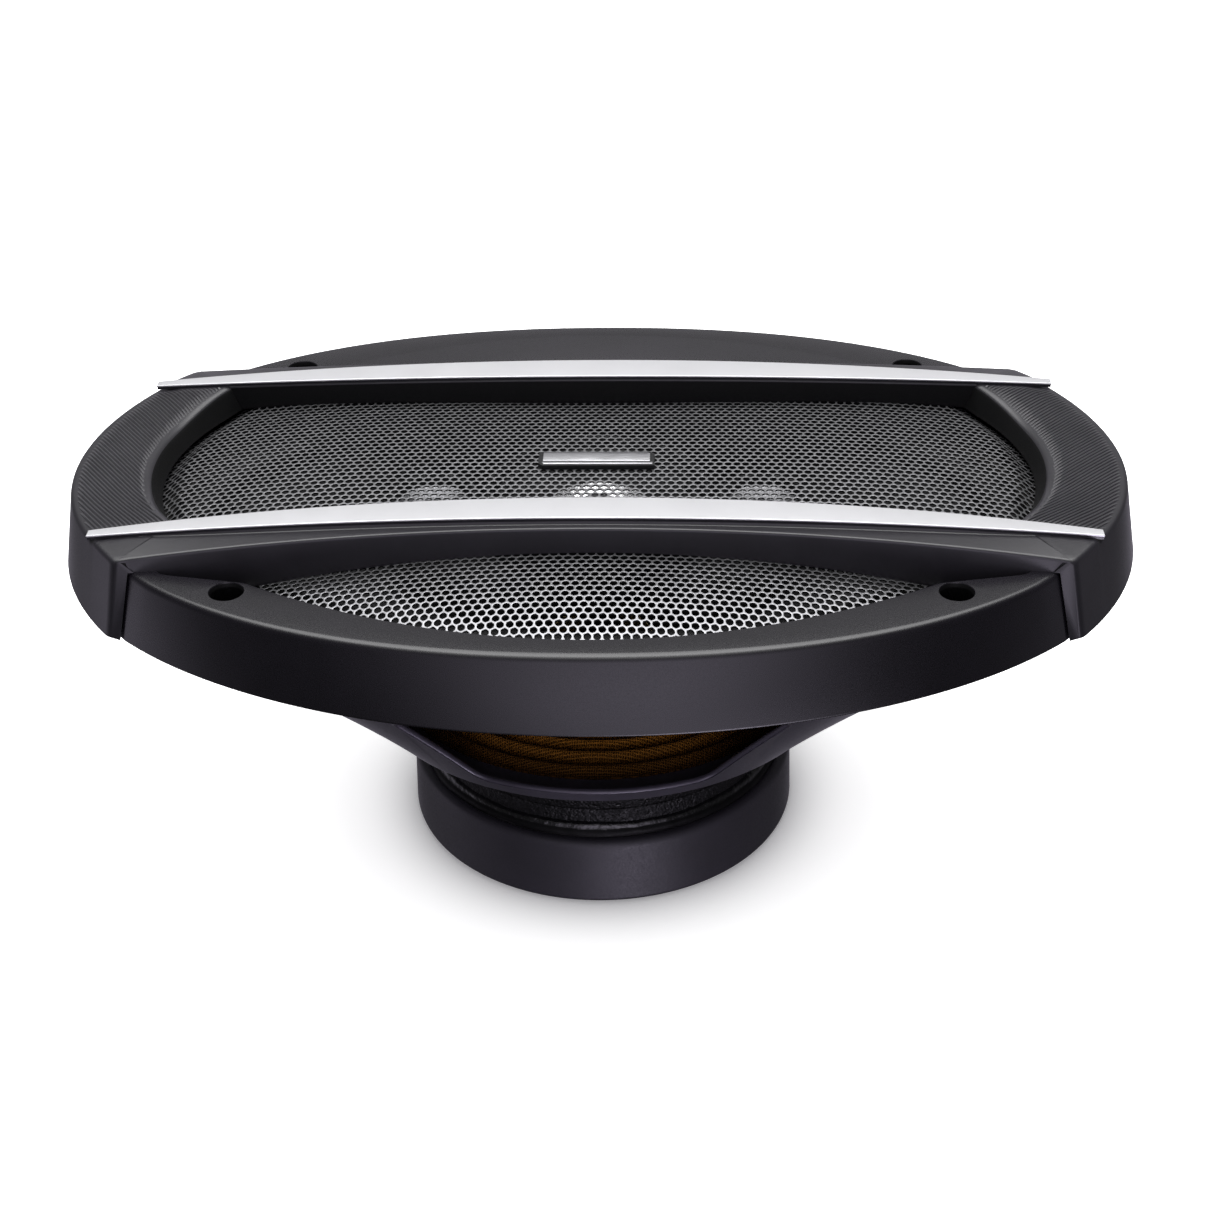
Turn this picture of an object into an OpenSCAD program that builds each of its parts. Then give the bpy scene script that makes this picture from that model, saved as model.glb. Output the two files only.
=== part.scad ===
// Oval three-way coaxial car speaker with an arched, perforated grille.
// +X runs along the oval, +Z faces the listener, and the origin is the centre of
// the magnet cover's foot. All sizes are in millimetres.

/* [Mounting] */
// Distance between the screw holes along the oval
screw_dx = 158.8; // [157.8:0.1:159.8]
// Distance between the screw holes across the oval
screw_dy = 112.8; // [111.8:0.1:113.8]
// Radius of each screw hole
screw_r = 2.4; // [2:0.1:2.6]
// Radius of the pocket for each screw head
head_r = 3.8; // [3.4:0.1:4.2]
// Height of the mounting face above the magnet cover's foot
face_z = 77.65; // [77:0.05:78.5]

/* [Grille ring] */
// Height of the flat rim above the mounting face
rim_h = 16.05; // [15:0.05:17]
// Half width of the ring at its foot
foot_b = 88.5; // [87:0.5:90]
// Half width of the ring at its rim
rim_b = 82; // [81:0.5:83]
// Wall thickness of the ring
ring_wall = 2.4; // [2:0.1:2.8]

/* [Bezel] */
// Half length of the bezel at its foot
bezel_foot_a = 128.4; // [128:0.1:129]
// Half length of the bezel at its top edge
bezel_top_a = 125; // [124.5:0.1:125.5]
// Half length of the opening between the end panels
open_a = 106.7; // [105:0.1:107.5]
// Half width of the opening at its middle
open_b = 31.25; // [30:0.25:33]
// Height of the crossbars' arch
arch_h = 5.2; // [3:0.1:6]
// Thickness of the bezel
bezel_wall = 2.2; // [1.8:0.1:2.4]

/* [Trim strips] */
// Half length of a strip
strip_a = 113.6; // [112:0.1:115]
// Width of a strip at its middle
strip_w = 9.25; // [8:0.05:10]
// Width of a strip at its tips
strip_tip_w = 2.7; // [2:0.1:4]
// Thickness of a strip
strip_t = 1; // [0.8:0.1:1.2]

/* [Meshes] */
// Thickness of the grille sheets
mesh_t = 0.8; // [0.6:0.1:1]
// Crown of the middle sheet across the opening
mesh_crown = 1.4; // [0.5:0.1:2]

/* [Motor] */
// Radius of the magnet cover at its foot
boot_r = 48.8; // [48:0.1:50]
// Height of the magnet cover
boot_h = 17.9; // [17:0.1:18.5]
// Radius of the ferrite ring
ferrite_r = 45.8; // [45:0.1:45.8]
// Radius of the top plate
top_plate_r = 44.2; // [43:0.1:44.4]
// Radius of the pole
pole_r = 12; // [11.8:0.1:12.1]

/* [Basket] */
// Radius of the basket's lower lip
lip_r = 61.2; // [60:0.1:62]
// Height of the spider's seat
seat_z = 41.4; // [41:0.1:42]
// Sheet thickness of the basket
sheet_t = 1.3; // [1.1:0.1:1.5]

/* [Moving parts] */
// Outer radius of the spider
spider_r = 54.4; // [53:0.1:56]
// Pitch of the spider's corrugations
spider_pitch = 4.6; // [4:0.1:5]
// Half length of the cone's mouth
cone_a = 92; // [90:0.5:93]
// Half width of the cone's mouth
cone_b = 54; // [52:0.5:55]
// Outer radius of the voice-coil former
former_r = 13.05; // [13:0.01:13.1]

/* [Tweeters] */
// Distance of each small tweeter from the centre
tweeter_x = 39.8; // [39.6:0.1:41]
// Outer radius of the middle driver's trim ring
mid_r = 28; // [27:0.5:28]

/* [Hidden] */
$fn = 96;

touch = 0.05;            // gap between faces that rest on each other
ring_steps = 96;         // sections round the grille ring
oval_steps = 72;         // sections round the basket, the cone and the surround
rim_z = face_z + rim_h;
shelf_z = face_z + 1.2;  // foot of the ring's inner shelf, on the basket's flange
shelf_t = 2.4;
panel_z = rim_z + 2.5;   // top of the end panels at the middle
strip_top = rim_z + 9.5; // highest point of the trim strips
bezel_corner_x = 106;    // where the bezel's end wall starts
bezel_corner_y = 48.5;
mesh_tip_x = 76;         // where the crescents run out
foot_step_x = 80;        // where a crossbar's foot steps down beside the crescents
plate_z = 25;            // underside of the basket's floor
ferrite_z = 18.8;        // top of the ferrite ring
yoke_z = 6.5;            // top of the yoke's back plate
sill_z = 43.2;           // lower edge of the basket's windows
bridge_z = 77;           // underside of the tweeter bridge
bridge_t = 3;
surround_w = 12;         // width of the surround's half roll
glue_gap = 0.3;          // bonded joints between pieces that move apart

// --- plain helpers ---------------------------------------------------------
function mix(a, b, k) = a + (b - a) * k;
function clamp01(v) = min(1, max(0, v));
function ease(v) = let (k = clamp01(v)) k * k * (3 - 2 * k);
function oval_r(a, b, t) = 1 / sqrt(pow(cos(t) / a, 2) + pow(sin(t) / b, 2));
function super_r(a, b, n, t) =
    pow(pow(abs(cos(t)) / a, n) + pow(abs(sin(t)) / b, n), -1 / n);
function backwards(v) = [for (i = [len(v) - 1 : -1 : 0]) v[i]];
function polar(r, t, z) = [r * cos(t), r * sin(t), z];
function oval_points(a, b, steps = oval_steps) =
    [for (i = [0 : steps - 1]) let (t = i * 360 / steps) [a * cos(t), b * sin(t)]];

// Joins a row of sections, each a closed ring of points, into one solid. Neighbouring
// sections may share points, and the triangles that shrink to nothing there are left out.
module skin(sections, closed = false) {
    n = len(sections);
    m = len(sections[0]);
    last = closed ? n - 1 : n - 2;
    points = [for (s = sections) each s];
    sides = [for (i = [0 : last], j = [0 : m - 1])
        let (a = i * m, b = ((i + 1) % n) * m, k = (j + 1) % m)
        for (f = [[a + j, a + k, b + k], [a + j, b + k, b + j]])
            let (p = points[f[0]], q = points[f[1]], r = points[f[2]])
            if (p != q && q != r && r != p) f];
    caps = closed ? [] : [[for (j = [m - 1 : -1 : 0]) j], [for (j = [0 : m - 1]) (n - 1) * m + j]];
    polyhedron(points, concat(sides, caps), convexity = 10);
}

// Sections round the Z axis from a profile of [radius, height] pairs at angle t.
function around(profile, steps) =
    [for (i = [0 : steps - 1]) let (t = i * 360 / steps) [for (q = profile(t)) polar(q[0], t, q[1])]];

module at_screws() {
    for (sx = [-1, 1], sy = [-1, 1])
        translate([sx * screw_dx / 2, sy * screw_dy / 2, 0]) children();
}

// --- outlines of the grille ------------------------------------------------
// Outer edge of the ring: the crescents' oval, set back where the bezel's end walls cover it.
function ring_r(t, z) =
    let (k = (z - face_z) / rim_h,
         crescent = mix(oval_r(129.5, foot_b, t), super_r(123.2, rim_b, 2.17, t), k),
         covered = oval_r(mix(bezel_foot_a - 3.6, bezel_top_a - 3.4, k), mix(95.9, 90, k), t))
    min(crescent, covered);
// Inner edge of the flat rim, as the distance from the long axis.
function rim_edge_y(x) =
    max(75.4 - 39.3 * pow(x / 100, 2), 52.9 - 0.185 * (abs(x) - 74.75));
function rim_edge_r(t, lo = 20, hi = 140, n = 20) =
    n == 0 ? min(lo, (open_a + 1.8) / max(abs(cos(t)), 0.01), ring_r(t, rim_z) - 5.2) :
    let (r = (lo + hi) / 2)
    r * abs(sin(t)) > rim_edge_y(r * cos(t)) ? rim_edge_r(t, lo, r, n - 1) : rim_edge_r(t, r, hi, n - 1);
// Top of the crescent sheets where they meet the rim and where they meet the crossbar.
function mesh_rim_z(x) = rim_z - 2.8 - 2.3 * pow(min(abs(x), mesh_tip_x) / mesh_tip_x, 2);
function mesh_bar_z(x) = rim_z + 1.95 - 7.05 * pow(min(abs(x), mesh_tip_x) / mesh_tip_x, 2);
// Top of the middle sheet.
function mesh_mid_z(x, y) =
    rim_z + 1.9 - 5.5 * pow(x / 104, 4) + mesh_crown * max(0, 1 - pow(y / open_b, 2));
// Crossbar edges: the strip's inner and outer edge, and the lower edge of the sloping face.
function strip_in(x) = open_b + (39.6 - strip_tip_w - open_b) * pow(x / strip_a, 2);
function strip_out(x) = open_b + strip_w + (39.6 - open_b - strip_w) * pow(x / strip_a, 2);
function slope_y(x) = 43 + 5.5 * pow(x / bezel_corner_x, 2);
function slope_z(x) = strip_top - 1.3 - (arch_h + 0.1) * pow(x / bezel_corner_x, 2);
function strip_z(x) = strip_top - arch_h * pow(x / strip_a, 2);
function seat_top(x) = strip_z(x) - strip_t - touch;
function bar_foot(x) =
    abs(x) > 94 ? rim_z + touch : abs(x) > foot_step_x ? mesh_rim_z(x) - mesh_t + touch : mesh_bar_z(x);
function panel_top(x, y) = mix(panel_z, max(panel_z, seat_top(x)), ease((abs(y) - 14) / 21));
function open_x(y) = open_a - y * y / 100;

// --- motor -----------------------------------------------------------------
module magnet_boot() {
    color([0.13, 0.13, 0.14])
    rotate_extrude() polygon([
        [0, 0], [boot_r - 0.8, 0], [boot_r, 0.8], [boot_r - 0.5, boot_h - 1], [boot_r - 1.5, boot_h],
        [ferrite_r + touch, boot_h], [ferrite_r + touch, 1.4], [0, 1.4]
    ]);
}

module yoke() {
    color([0.55, 0.56, 0.58])
    rotate_extrude() polygon([
        [2.3, 4.2], [5, 4.2], [5, 1.4], [43, 1.4], [43, yoke_z], [pole_r, yoke_z], [pole_r, plate_z],
        [5, plate_z], [5, 5.95], [2.3, 5.95]
    ]);
}

module ferrite_magnet() {
    color([0.2, 0.2, 0.21])
    translate([0, 0, yoke_z]) difference() {
        cylinder(r = ferrite_r, h = ferrite_z - yoke_z);
        translate([0, 0, -1]) cylinder(r = 22, h = 20);
    }
}

module top_plate() {
    color([0.16, 0.16, 0.17])
    translate([0, 0, ferrite_z]) difference() {
        cylinder(r = top_plate_r, h = plate_z - ferrite_z);
        translate([0, 0, -1]) cylinder(r = 14.3, h = 10);
    }
}

module adhesive_bead() {
    color([0.05, 0.05, 0.05])
    rotate_extrude() polygon([
        [top_plate_r, ferrite_z], [ferrite_r - 0.2, ferrite_z], [ferrite_r - 0.5, ferrite_z + 1.2],
        [top_plate_r + 0.7, ferrite_z + 2.3], [top_plate_r, ferrite_z + 2.6]
    ]);
}

// --- basket ----------------------------------------------------------------
// One pressed sheet: floor, neck, spider seat, flared wall, inner ledge and flange.
function basket_profile(t) =
    let (wall = oval_r(112, 74, t), flange = super_r(116, 77, 2.3, t), hole = oval_r(104, 66, t))
    [[15, plate_z], [44.5, plate_z], [46.6, seat_z - sheet_t], [lip_r - 0.3, seat_z - sheet_t],
     [lip_r, seat_z - 0.9], [wall, 70], [wall, face_z], [flange, face_z], [flange, shelf_z],
     [hole, shelf_z], [hole, face_z], [wall - sheet_t, face_z], [wall - sheet_t, 70.5],
     [lip_r - 1, seat_z + 0.9], [lip_r - 1.3, seat_z], [45.4, seat_z], [43.2, plate_z + sheet_t],
     [15, plate_z + sheet_t]];

// Opening in the basket's wall, as a prism that runs outwards along +Y.
module window(low_w, high_w) {
    rotate([90, 0, 180]) translate([0, 0, 40])
        linear_extrude(90) polygon([
            [-low_w, sill_z], [low_w, sill_z], [high_w, 64], [high_w - 5, 67.5], [5 - high_w, 67.5],
            [-high_w, 64]
        ]);
}

module basket_shell() {
    difference() {
        skin(around(function (t) basket_profile(t), oval_steps), true);
        for (side = [0, 180]) {
            rotate(side) window(26.5, 45);
            rotate(side + 90) window(22, 34);
        }
        at_screws() translate([0, 0, face_z - 1]) cylinder(r = screw_r, h = 4);
    }
}

// Everything in a wide slab between two heights.
module slab(z0, z1) {
    translate([-140, -100, z0]) cube([280, 200, z1 - z0]);
}

// The sheet is divided at the windows' sill: the dish below it, and the wall above.
module basket() {
    color([0.2, 0.2, 0.22])
    intersection() {
        basket_shell();
        slab(plate_z - 1, sill_z);
    }
}

module basket_wall() {
    color([0.2, 0.2, 0.22])
    intersection() {
        basket_shell();
        slab(sill_z + touch, shelf_z + 1);
    }
}

module flange_gasket() {
    color([0.1, 0.1, 0.1])
    translate([0, 0, shelf_z + 0.6]) difference() {
        linear_extrude(1.8) polygon(oval_points(109.5, 71.5));
        translate([0, 0, -1]) linear_extrude(4) polygon(oval_points(104.5, 66.5));
    }
}

// --- moving parts ----------------------------------------------------------
// Half roll between the cone's mouth and the flange, with a flat bonded edge outside it.
roll_steps = 6;
surround_z = shelf_z + touch;
function surround_offsets() = concat(
    [[surround_w + 5, 0], [surround_w + 5, 0.5], [surround_w, 0.5]],
    [for (i = [1 : roll_steps - 1]) let (u = i * 180 / roll_steps)
        [surround_w / 2 + (surround_w / 2 - 0.2) * cos(u), 0.5 + 5 * sin(u)]],
    [[0.6, 0.5], [0.6, 0]],
    [for (i = [1 : roll_steps]) let (u = 180 - i * 180 / roll_steps)
        [surround_w / 2 + (surround_w / 2 - 0.9) * cos(u), 4.4 * sin(u)]]
);
function surround_section(t) =
    [for (q = surround_offsets()) [(cone_a + q[0]) * cos(t), (cone_b + q[0]) * sin(t), surround_z + q[1]]];

module cone_surround() {
    color([0.08, 0.08, 0.08])
    skin([for (i = [0 : oval_steps - 1]) surround_section(i * 360 / oval_steps)], true);
}

spider_in = former_r + glue_gap;
spider_points = 48;
function spider_wave(r) =
    r > spider_r - 5 || r < spider_in + 3 ? 0 : 1.1 - 1.1 * cos((spider_r - 5 - r) * 360 / spider_pitch);
function spider_side(lift) =
    [for (i = [0 : spider_points]) let (r = mix(spider_in, spider_r, i / spider_points))
        [r, seat_z + touch + spider_wave(r) + lift]];
module spider() {
    color([0.55, 0.32, 0.1])
    rotate_extrude() polygon(concat(spider_side(0), backwards(spider_side(0.5))));
}

// The cone's wall: a slightly bowed surface from the round neck to the oval mouth.
cone_neck_z = 44.5;
cone_mouth_z = surround_z + 0.2;
cone_stations = 5;
function cone_r(t, k) = mix(former_r + touch, oval_r(cone_a, cone_b, t), pow(k, 1.12));
function cone_side(t, lift) =
    [for (i = [0 : cone_stations]) let (k = i / cone_stations)
        [cone_r(t, k), mix(cone_neck_z, cone_mouth_z, k) + lift]];
function cone_profile(t) = concat(cone_side(t, 0), backwards(cone_side(t, 0.7)));
module woofer_cone() {
    color([0.12, 0.12, 0.13])
    skin(around(function (t) cone_profile(t), oval_steps), true);
}

module tube(r, wall, z0, z1) {
    translate([0, 0, z0]) difference() {
        cylinder(r = r, h = z1 - z0);
        translate([0, 0, -1]) cylinder(r = r - wall, h = z1 - z0 + 2);
    }
}

module voice_coil_former() {
    color([0.85, 0.75, 0.45]) tube(former_r, 0.25, 16, 46);
}

module voice_coil() {
    color([0.72, 0.4, 0.2]) tube(former_r + 0.65, 0.65 - 0.02, 17, 27);
}

// --- tweeters --------------------------------------------------------------
module centre_post() {
    color([0.2, 0.2, 0.2])
    rotate_extrude() polygon([
        [0, 15], [2.05, 15], [2.05, 6], [4.95, 6], [4.95, 54], [10, 62], [10, 66], [0, 66]
    ]);
}

module post_screw() {
    color([0.7, 0.7, 0.72]) {
        translate([0, 0, 1.5]) cylinder(r = 4.6, h = 2.6);
        translate([0, 0, 4]) cylinder(r = 2, h = 9);
    }
}

module midrange_motor() {
    color([0.25, 0.25, 0.26])
    rotate_extrude() polygon([
        [0, 66], [15, 66], [15, bridge_z], [7.9, bridge_z], [7.9, 70], [6.4, 70], [6.4, bridge_z],
        [0, bridge_z]
    ]);
}

module tweeter_bridge() {
    color([0.15, 0.15, 0.16])
    translate([0, 0, bridge_z]) difference() {
        linear_extrude(bridge_t) {
            circle(r = mid_r);
            for (side = [-1, 1]) translate([side * tweeter_x, 0]) circle(r = 12.5);
            square([2 * tweeter_x, 16], center = true);
        }
        translate([0, 0, -1]) cylinder(r = 8.2, h = 6);
    }
}

mid_z = bridge_z + bridge_t;
module midrange_trim_ring() {
    color([0.8, 0.8, 0.82])
    rotate_extrude() polygon([
        [24.8, mid_z], [mid_r, mid_z], [mid_r, mid_z + 7], [mid_r - 1.4, mid_z + 9],
        [25.6, mid_z + 8], [24.8, mid_z + 6.2]
    ]);
}

module midrange_surround() {
    color([0.1, 0.1, 0.1])
    rotate_extrude() polygon([
        [21.8, mid_z + 6], [22.6, mid_z + 7.1], [23.9, mid_z + 7.1], [24.75, mid_z + 6],
        [24.75, mid_z + 5.6], [23.7, mid_z + 6.6], [22.8, mid_z + 6.6], [21.8, mid_z + 5.6]
    ]);
}

module midrange_cone() {
    color([0.85, 0.85, 0.87])
    rotate_extrude() polygon([
        [7.3 + touch, mid_z + 1], [14, mid_z + 2.6], [21.5, mid_z + 5.6], [21.5, mid_z + 6.1],
        [14, mid_z + 3.1], [7.3 + touch, mid_z + 1.5]
    ]);
}

module midrange_former() {
    color([0.85, 0.75, 0.45]) tube(7.3, 0.25, 72, mid_z + 2);
}

module midrange_dust_cap() {
    color([0.9, 0.9, 0.92])
    rotate_extrude() polygon([
        [0, mid_z + 5.2], [2.5, mid_z + 5], [5, mid_z + 4.1], [7.3, mid_z + 2.05],
        [6.6, mid_z + 2.05], [4.7, mid_z + 3.6], [2.3, mid_z + 4.5], [0, mid_z + 4.7]
    ]);
}

module tweeter_housing(side) {
    color([0.2, 0.2, 0.21])
    translate([side * tweeter_x, 0, mid_z]) rotate_extrude() polygon([
        [0, 0], [11.5, 0], [11.5, 5.5], [10.5, 7], [9.4, 7], [8.6, 5], [8.6, 1.2], [0, 1.2]
    ]);
}

module tweeter_diaphragm(side) {
    color([0.85, 0.85, 0.87])
    translate([side * tweeter_x, 0, mid_z]) rotate_extrude() polygon([
        [0, 1.25], [8.55, 1.25], [8.55, 4.6], [4.2, 2.6], [2.4, 4], [0, 4.6]
    ]);
}

module left_tweeter_housing() { tweeter_housing(-1); }
module right_tweeter_housing() { tweeter_housing(1); }
module left_tweeter_diaphragm() { tweeter_diaphragm(-1); }
module right_tweeter_diaphragm() { tweeter_diaphragm(1); }

// --- wiring ----------------------------------------------------------------
// Bracket that stands on the rear window's sill and carries the terminal board.
bracket_y = lip_r + 1.4;
bracket_t = 1.2;
rivet_x = 5;
rivet_z = 48;
rivet_r = 1.5;
// Children at each rivet, with +Z turned outwards.
module at_rivets(y) {
    for (side = [-1, 1]) translate([side * rivet_x, y, rivet_z]) rotate([-90, 0, 0]) children();
}
module terminal_bracket() {
    color([0.2, 0.2, 0.22])
    difference() {
        union() {
            translate([-9, bracket_y, sill_z + touch]) cube([18, bracket_t, 10.5]);
            translate([-9, bracket_y - 6, sill_z + touch]) cube([18, 6.5, bracket_t]);
        }
        at_rivets(bracket_y - 1) cylinder(r = rivet_r, h = 4);
    }
}

board_y = bracket_y + bracket_t + touch;
board_t = 1.6;
lead_x = 8;
lead_z = 54.8;
module terminal_board() {
    color([0.45, 0.3, 0.18])
    difference() {
        translate([-14, board_y, 44]) cube([28, board_t, 15]);
        for (side = [-1, 1])
            translate([side * lead_x, board_y - 1, lead_z]) rotate([-90, 0, 0]) cylinder(r = 1, h = 4);
        at_rivets(board_y - 1) cylinder(r = rivet_r, h = 4);
    }
}

// A push-on blade that stands out from the board, folded from one strip.
module terminal(side, width) {
    color([0.8, 0.8, 0.78])
    translate([side * 9.5, board_y + board_t, 50.6]) {
        translate([-width / 2, 0, 0]) cube([width, 0.8, 5.6]);
        translate([-width / 2, 0, 0]) cube([width, 9.5, 0.8]);
    }
}

module positive_terminal() { terminal(-1, 6.3); }
module negative_terminal() { terminal(1, 4.8); }

module terminal_rivets() {
    grip = board_y + board_t - bracket_y;
    color([0.75, 0.72, 0.6]) at_rivets(bracket_y) {
        cylinder(r = rivet_r - touch, h = grip);
        translate([0, 0, grip]) cylinder(r = 2.4, h = 0.8);
        translate([0, 0, -0.8]) cylinder(r = 2.4, h = 0.8);
    }
}

// Flexible leads from the board to the cone's neck, in a slack curve over the spider.
lead_route = [
    [65.4, lead_z], [61, lead_z], [57, 53.2], [53, 50.8], [47, 48.6], [41, 47.6], [35, 47.6], [29, 48.6],
    [24, 50.4], [21, 51.7]
];
lead_r = 0.7;
module lead(side) {
    n = len(lead_route);
    skin([for (i = [0 : n - 1])
        let (before = lead_route[max(0, i - 1)], after = lead_route[min(n - 1, i + 1)],
             run = after - before, across = [-run[1], run[0]] / norm(run))
        [for (j = [0 : 7]) let (c = lead_r * cos(j * 45), s = lead_r * sin(j * 45))
            [side * lead_x * mix(1, 0.75, i / (n - 1)) + c, lead_route[i][0] + across[0] * s,
             lead_route[i][1] + across[1] * s]]]);
}

module tinsel_leads() {
    color([0.75, 0.6, 0.3]) for (side = [-1, 1]) lead(side);
}

module crossover_capacitor() {
    color([0.15, 0.2, 0.4])
    translate([-9, board_y + board_t + 4, 43]) rotate([0, 90, 0]) {
        cylinder(r = 4, h = 18);
        translate([0, 0, -3]) cylinder(r = 0.4, h = 24);
    }
}

// --- grille ----------------------------------------------------------------
function ring_profile(t) =
    let (inner = rim_edge_r(t), x = inner * cos(t), ledge = mesh_rim_z(x) - mesh_t - 2 * touch,
         shelf = oval_r(110, 72, t), under = min(rim_z - ring_wall, ledge + 0.6))
    [[ring_r(t, face_z), face_z], [ring_r(t, rim_z), rim_z], [inner, rim_z], [inner, ledge],
     [inner - 3, ledge], [inner - 3, ledge - 1.2], [inner + 2, under - 0.6],
     [ring_r(t, rim_z) - ring_wall, rim_z - ring_wall],
     [ring_r(t, shelf_z + shelf_t) - ring_wall, shelf_z + shelf_t], [shelf, shelf_z + shelf_t],
     [shelf, shelf_z], [ring_r(t, shelf_z) - ring_wall, shelf_z], [ring_r(t, face_z) - ring_wall, face_z]];

module grille_ring() {
    color([0.22, 0.21, 0.23])
    difference() {
        union() {
            skin(around(function (t) ring_profile(t), ring_steps), true);
            at_screws() translate([0, 0, shelf_z + 1]) cylinder(r = head_r + 1.2, h = rim_h - 3.2);
        }
        at_screws() {
            translate([0, 0, face_z - 1]) cylinder(r = screw_r, h = rim_h + 2);
            translate([0, 0, shelf_z + 5]) cylinder(r = head_r, h = rim_h);
        }
    }
}

// One section of a crossbar at x.
bar_inset = (open_a - 12.3) / bezel_corner_x;
function bar_section(x, side) =
    let (xi = x * bar_inset, xo = x * 0.969, y = slope_y(x), yi = strip_in(xi), top = seat_top(xi))
    [for (q = [[xo, y + 0.2, bar_foot(xo)], [x, y, slope_z(x)],
               [x * 0.96, strip_out(x * 0.96), seat_top(x * 0.96)],
               [xi, yi, top], [xi, yi, mesh_mid_z(xi, yi)], [xi, yi + bezel_wall, mesh_mid_z(xi, yi)],
               [xi, yi + bezel_wall, top - bezel_wall], [xo, y - bezel_wall, slope_z(x) - bezel_wall],
               [xo, y - bezel_wall, bar_foot(xo)]])
        [q[0] * side, q[1] * side, q[2]]];
// The end wall at s from -1 to 1 along it: outer foot, top edge, inner shoulder and inner foot.
function end_wall(s) =
    let (yf = 50.1 * s, yt = bezel_corner_y * s, y7 = 48.8 * s, y8 = 51.3 * s)
    [[bezel_foot_a * sqrt(1 - pow(yf / 95.3, 2)), yf, face_z],
     [bezel_top_a * sqrt(1 - pow(yt / 91.5, 2)), yt, panel_z - 0.2 + 0.6 * s * s],
     [(bezel_top_a - 2.95) * sqrt(1 - pow(y7 / 90.45, 2)), y7, rim_z + touch],
     [(bezel_foot_a - 3.15) * sqrt(1 - pow(y8 / 96.35, 2)), y8, face_z]];
// One section of an end panel, from the wall's foot over the top to the opening's edge and back.
function end_section(s) =
    let (wall = end_wall(s), yi = strip_in(94.4) * s, xi = open_x(yi),
         xm = mix(wall[1][0], xi, 0.4), ym = mix(wall[1][1], yi, 0.4), foot = mesh_mid_z(xi - 2.5, yi))
    [wall[0], wall[1], [xm, ym, panel_top(xm, ym)], [xi, yi, panel_top(xi, yi)],
     [xi - 2.5, yi * 0.99, foot], [xi - 0.3, yi, foot], [xi + 1, yi, panel_top(xi, yi) - bezel_wall],
     wall[2], wall[3]];
// Where an end panel meets a crossbar the top follows the bar, with the wall and without it.
function corner_section(s, with_wall) =
    let (wall = end_wall(s), bar = bar_section(bezel_corner_x, 1))
    concat([with_wall ? wall[0] : wall[2]],
        [for (j = [1 : 6]) [bar[j][0], bar[j][1] * s, bar[j][2]]],
        [wall[2], with_wall ? wall[3] : wall[2]]);

bar_steps = 26;
end_steps = 18;
function turned(section, side) = [for (q = section) [q[0] * side, q[1] * side, q[2]]];
function bezel_half(side) = concat(
    [for (s = [-1], with_wall = [false, true]) turned(corner_section(s, with_wall), side)],
    [for (i = [1 : end_steps - 1]) turned(end_section(mix(-1, 1, i / end_steps)), side)],
    [for (s = [1], with_wall = [true, false]) turned(corner_section(s, with_wall), side)],
    [for (i = [1 : bar_steps - 1]) bar_section(mix(1, -1, i / bar_steps) * bezel_corner_x, side)]
);
module bezel() {
    color([0.2, 0.19, 0.21])
    skin(concat(bezel_half(1), bezel_half(-1)), true);
}

strip_steps = 30;
module trim_strip(side) {
    color([0.88, 0.88, 0.9])
    skin([for (i = [0 : strip_steps])
        let (x = side * mix(-strip_a, strip_a, i / strip_steps), z = strip_z(x))
        [[x, side * strip_in(x), z - strip_t], [x, side * strip_in(x), z],
         [x, side * strip_out(x), z], [x, side * strip_out(x), z - strip_t]]]);
}
module front_trim_strip() { trim_strip(-1); }
module rear_trim_strip() { trim_strip(1); }

// A curved sheet from rows of points on its top face.
module sheet(rows, thickness) {
    skin([for (row = rows) concat(row,
        [for (i = [len(row) - 1 : -1 : 0]) row[i] - [0, 0, thickness]])]);
}

mid_rows = 26;
mid_cols = 8;
module centre_grille() {
    reach = open_a - 1.9;
    color([0.6, 0.6, 0.62])
    difference() {
        sheet([for (i = [0 : mid_rows])
            let (x = mix(-reach, reach, i / mid_rows),
                 half = abs(x) > 93 ? sqrt((open_a - 1.4 - abs(x)) * 100) : strip_in(x) + 1)
            [for (j = [0 : mid_cols]) let (y = mix(-1, 1, j / mid_cols) * min(half, strip_in(x) + 1))
                [x, y, mesh_mid_z(x, y) - touch]]], mesh_t);
        for (side = [-1, 1]) translate([side * 10, -3, rim_z - 2]) cylinder(r = 0.8, h = 8, $fn = 24);
    }
}

// A crescent sheet between a crossbar and the rim.
crescent_crown = 0.4;
rear_lift = 2.8;          // how far the rear panel rises above the front sheet, at the rim
bar_cover = 2.4;          // width of the sheet that stays flat beside the crossbar's foot
crescent_rows = 20;
crescent_cols = 6;
module crescent(side, lift) {
    sheet([for (i = [0 : crescent_rows])
        let (x = side * mix(-1, 1, i / crescent_rows) * (mesh_tip_x - 0.5),
             near = slope_y(x) - 1.2, far = rim_edge_y(x) - 0.2)
        [for (j = [0 : crescent_cols])
            let (k = j / crescent_cols, y = mix(near, far, k),
                 rise = max(0, y - near - bar_cover) / (far - near - bar_cover),
                 z = mix(mesh_bar_z(x), mesh_rim_z(x), k * k) + crescent_crown * 4 * rise * (1 - rise)
                     + lift * rise * (1 - pow(x / mesh_tip_x, 2)))
            [x, side * y, z - touch]]], mesh_t);
}
module front_grille() { color([0.62, 0.62, 0.64]) crescent(-1, 0); }
module rear_panel() { color([0.2, 0.19, 0.21]) crescent(1, rear_lift); }

module badge_plate() {
    color([0.8, 0.8, 0.82])
    translate([0, -3, rim_z + 3.3]) {
        linear_extrude(1.3) polygon([
            [-13.8, -2.5], [-12.8, -3.5], [13.8, -3.5], [13.8, 2.5], [12.8, 3.5], [-13.8, 3.5]
        ]);
        for (side = [-1, 1]) translate([side * 10, 0, -2]) cylinder(r = 0.7, h = 2.5, $fn = 24);
    }
}

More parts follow.
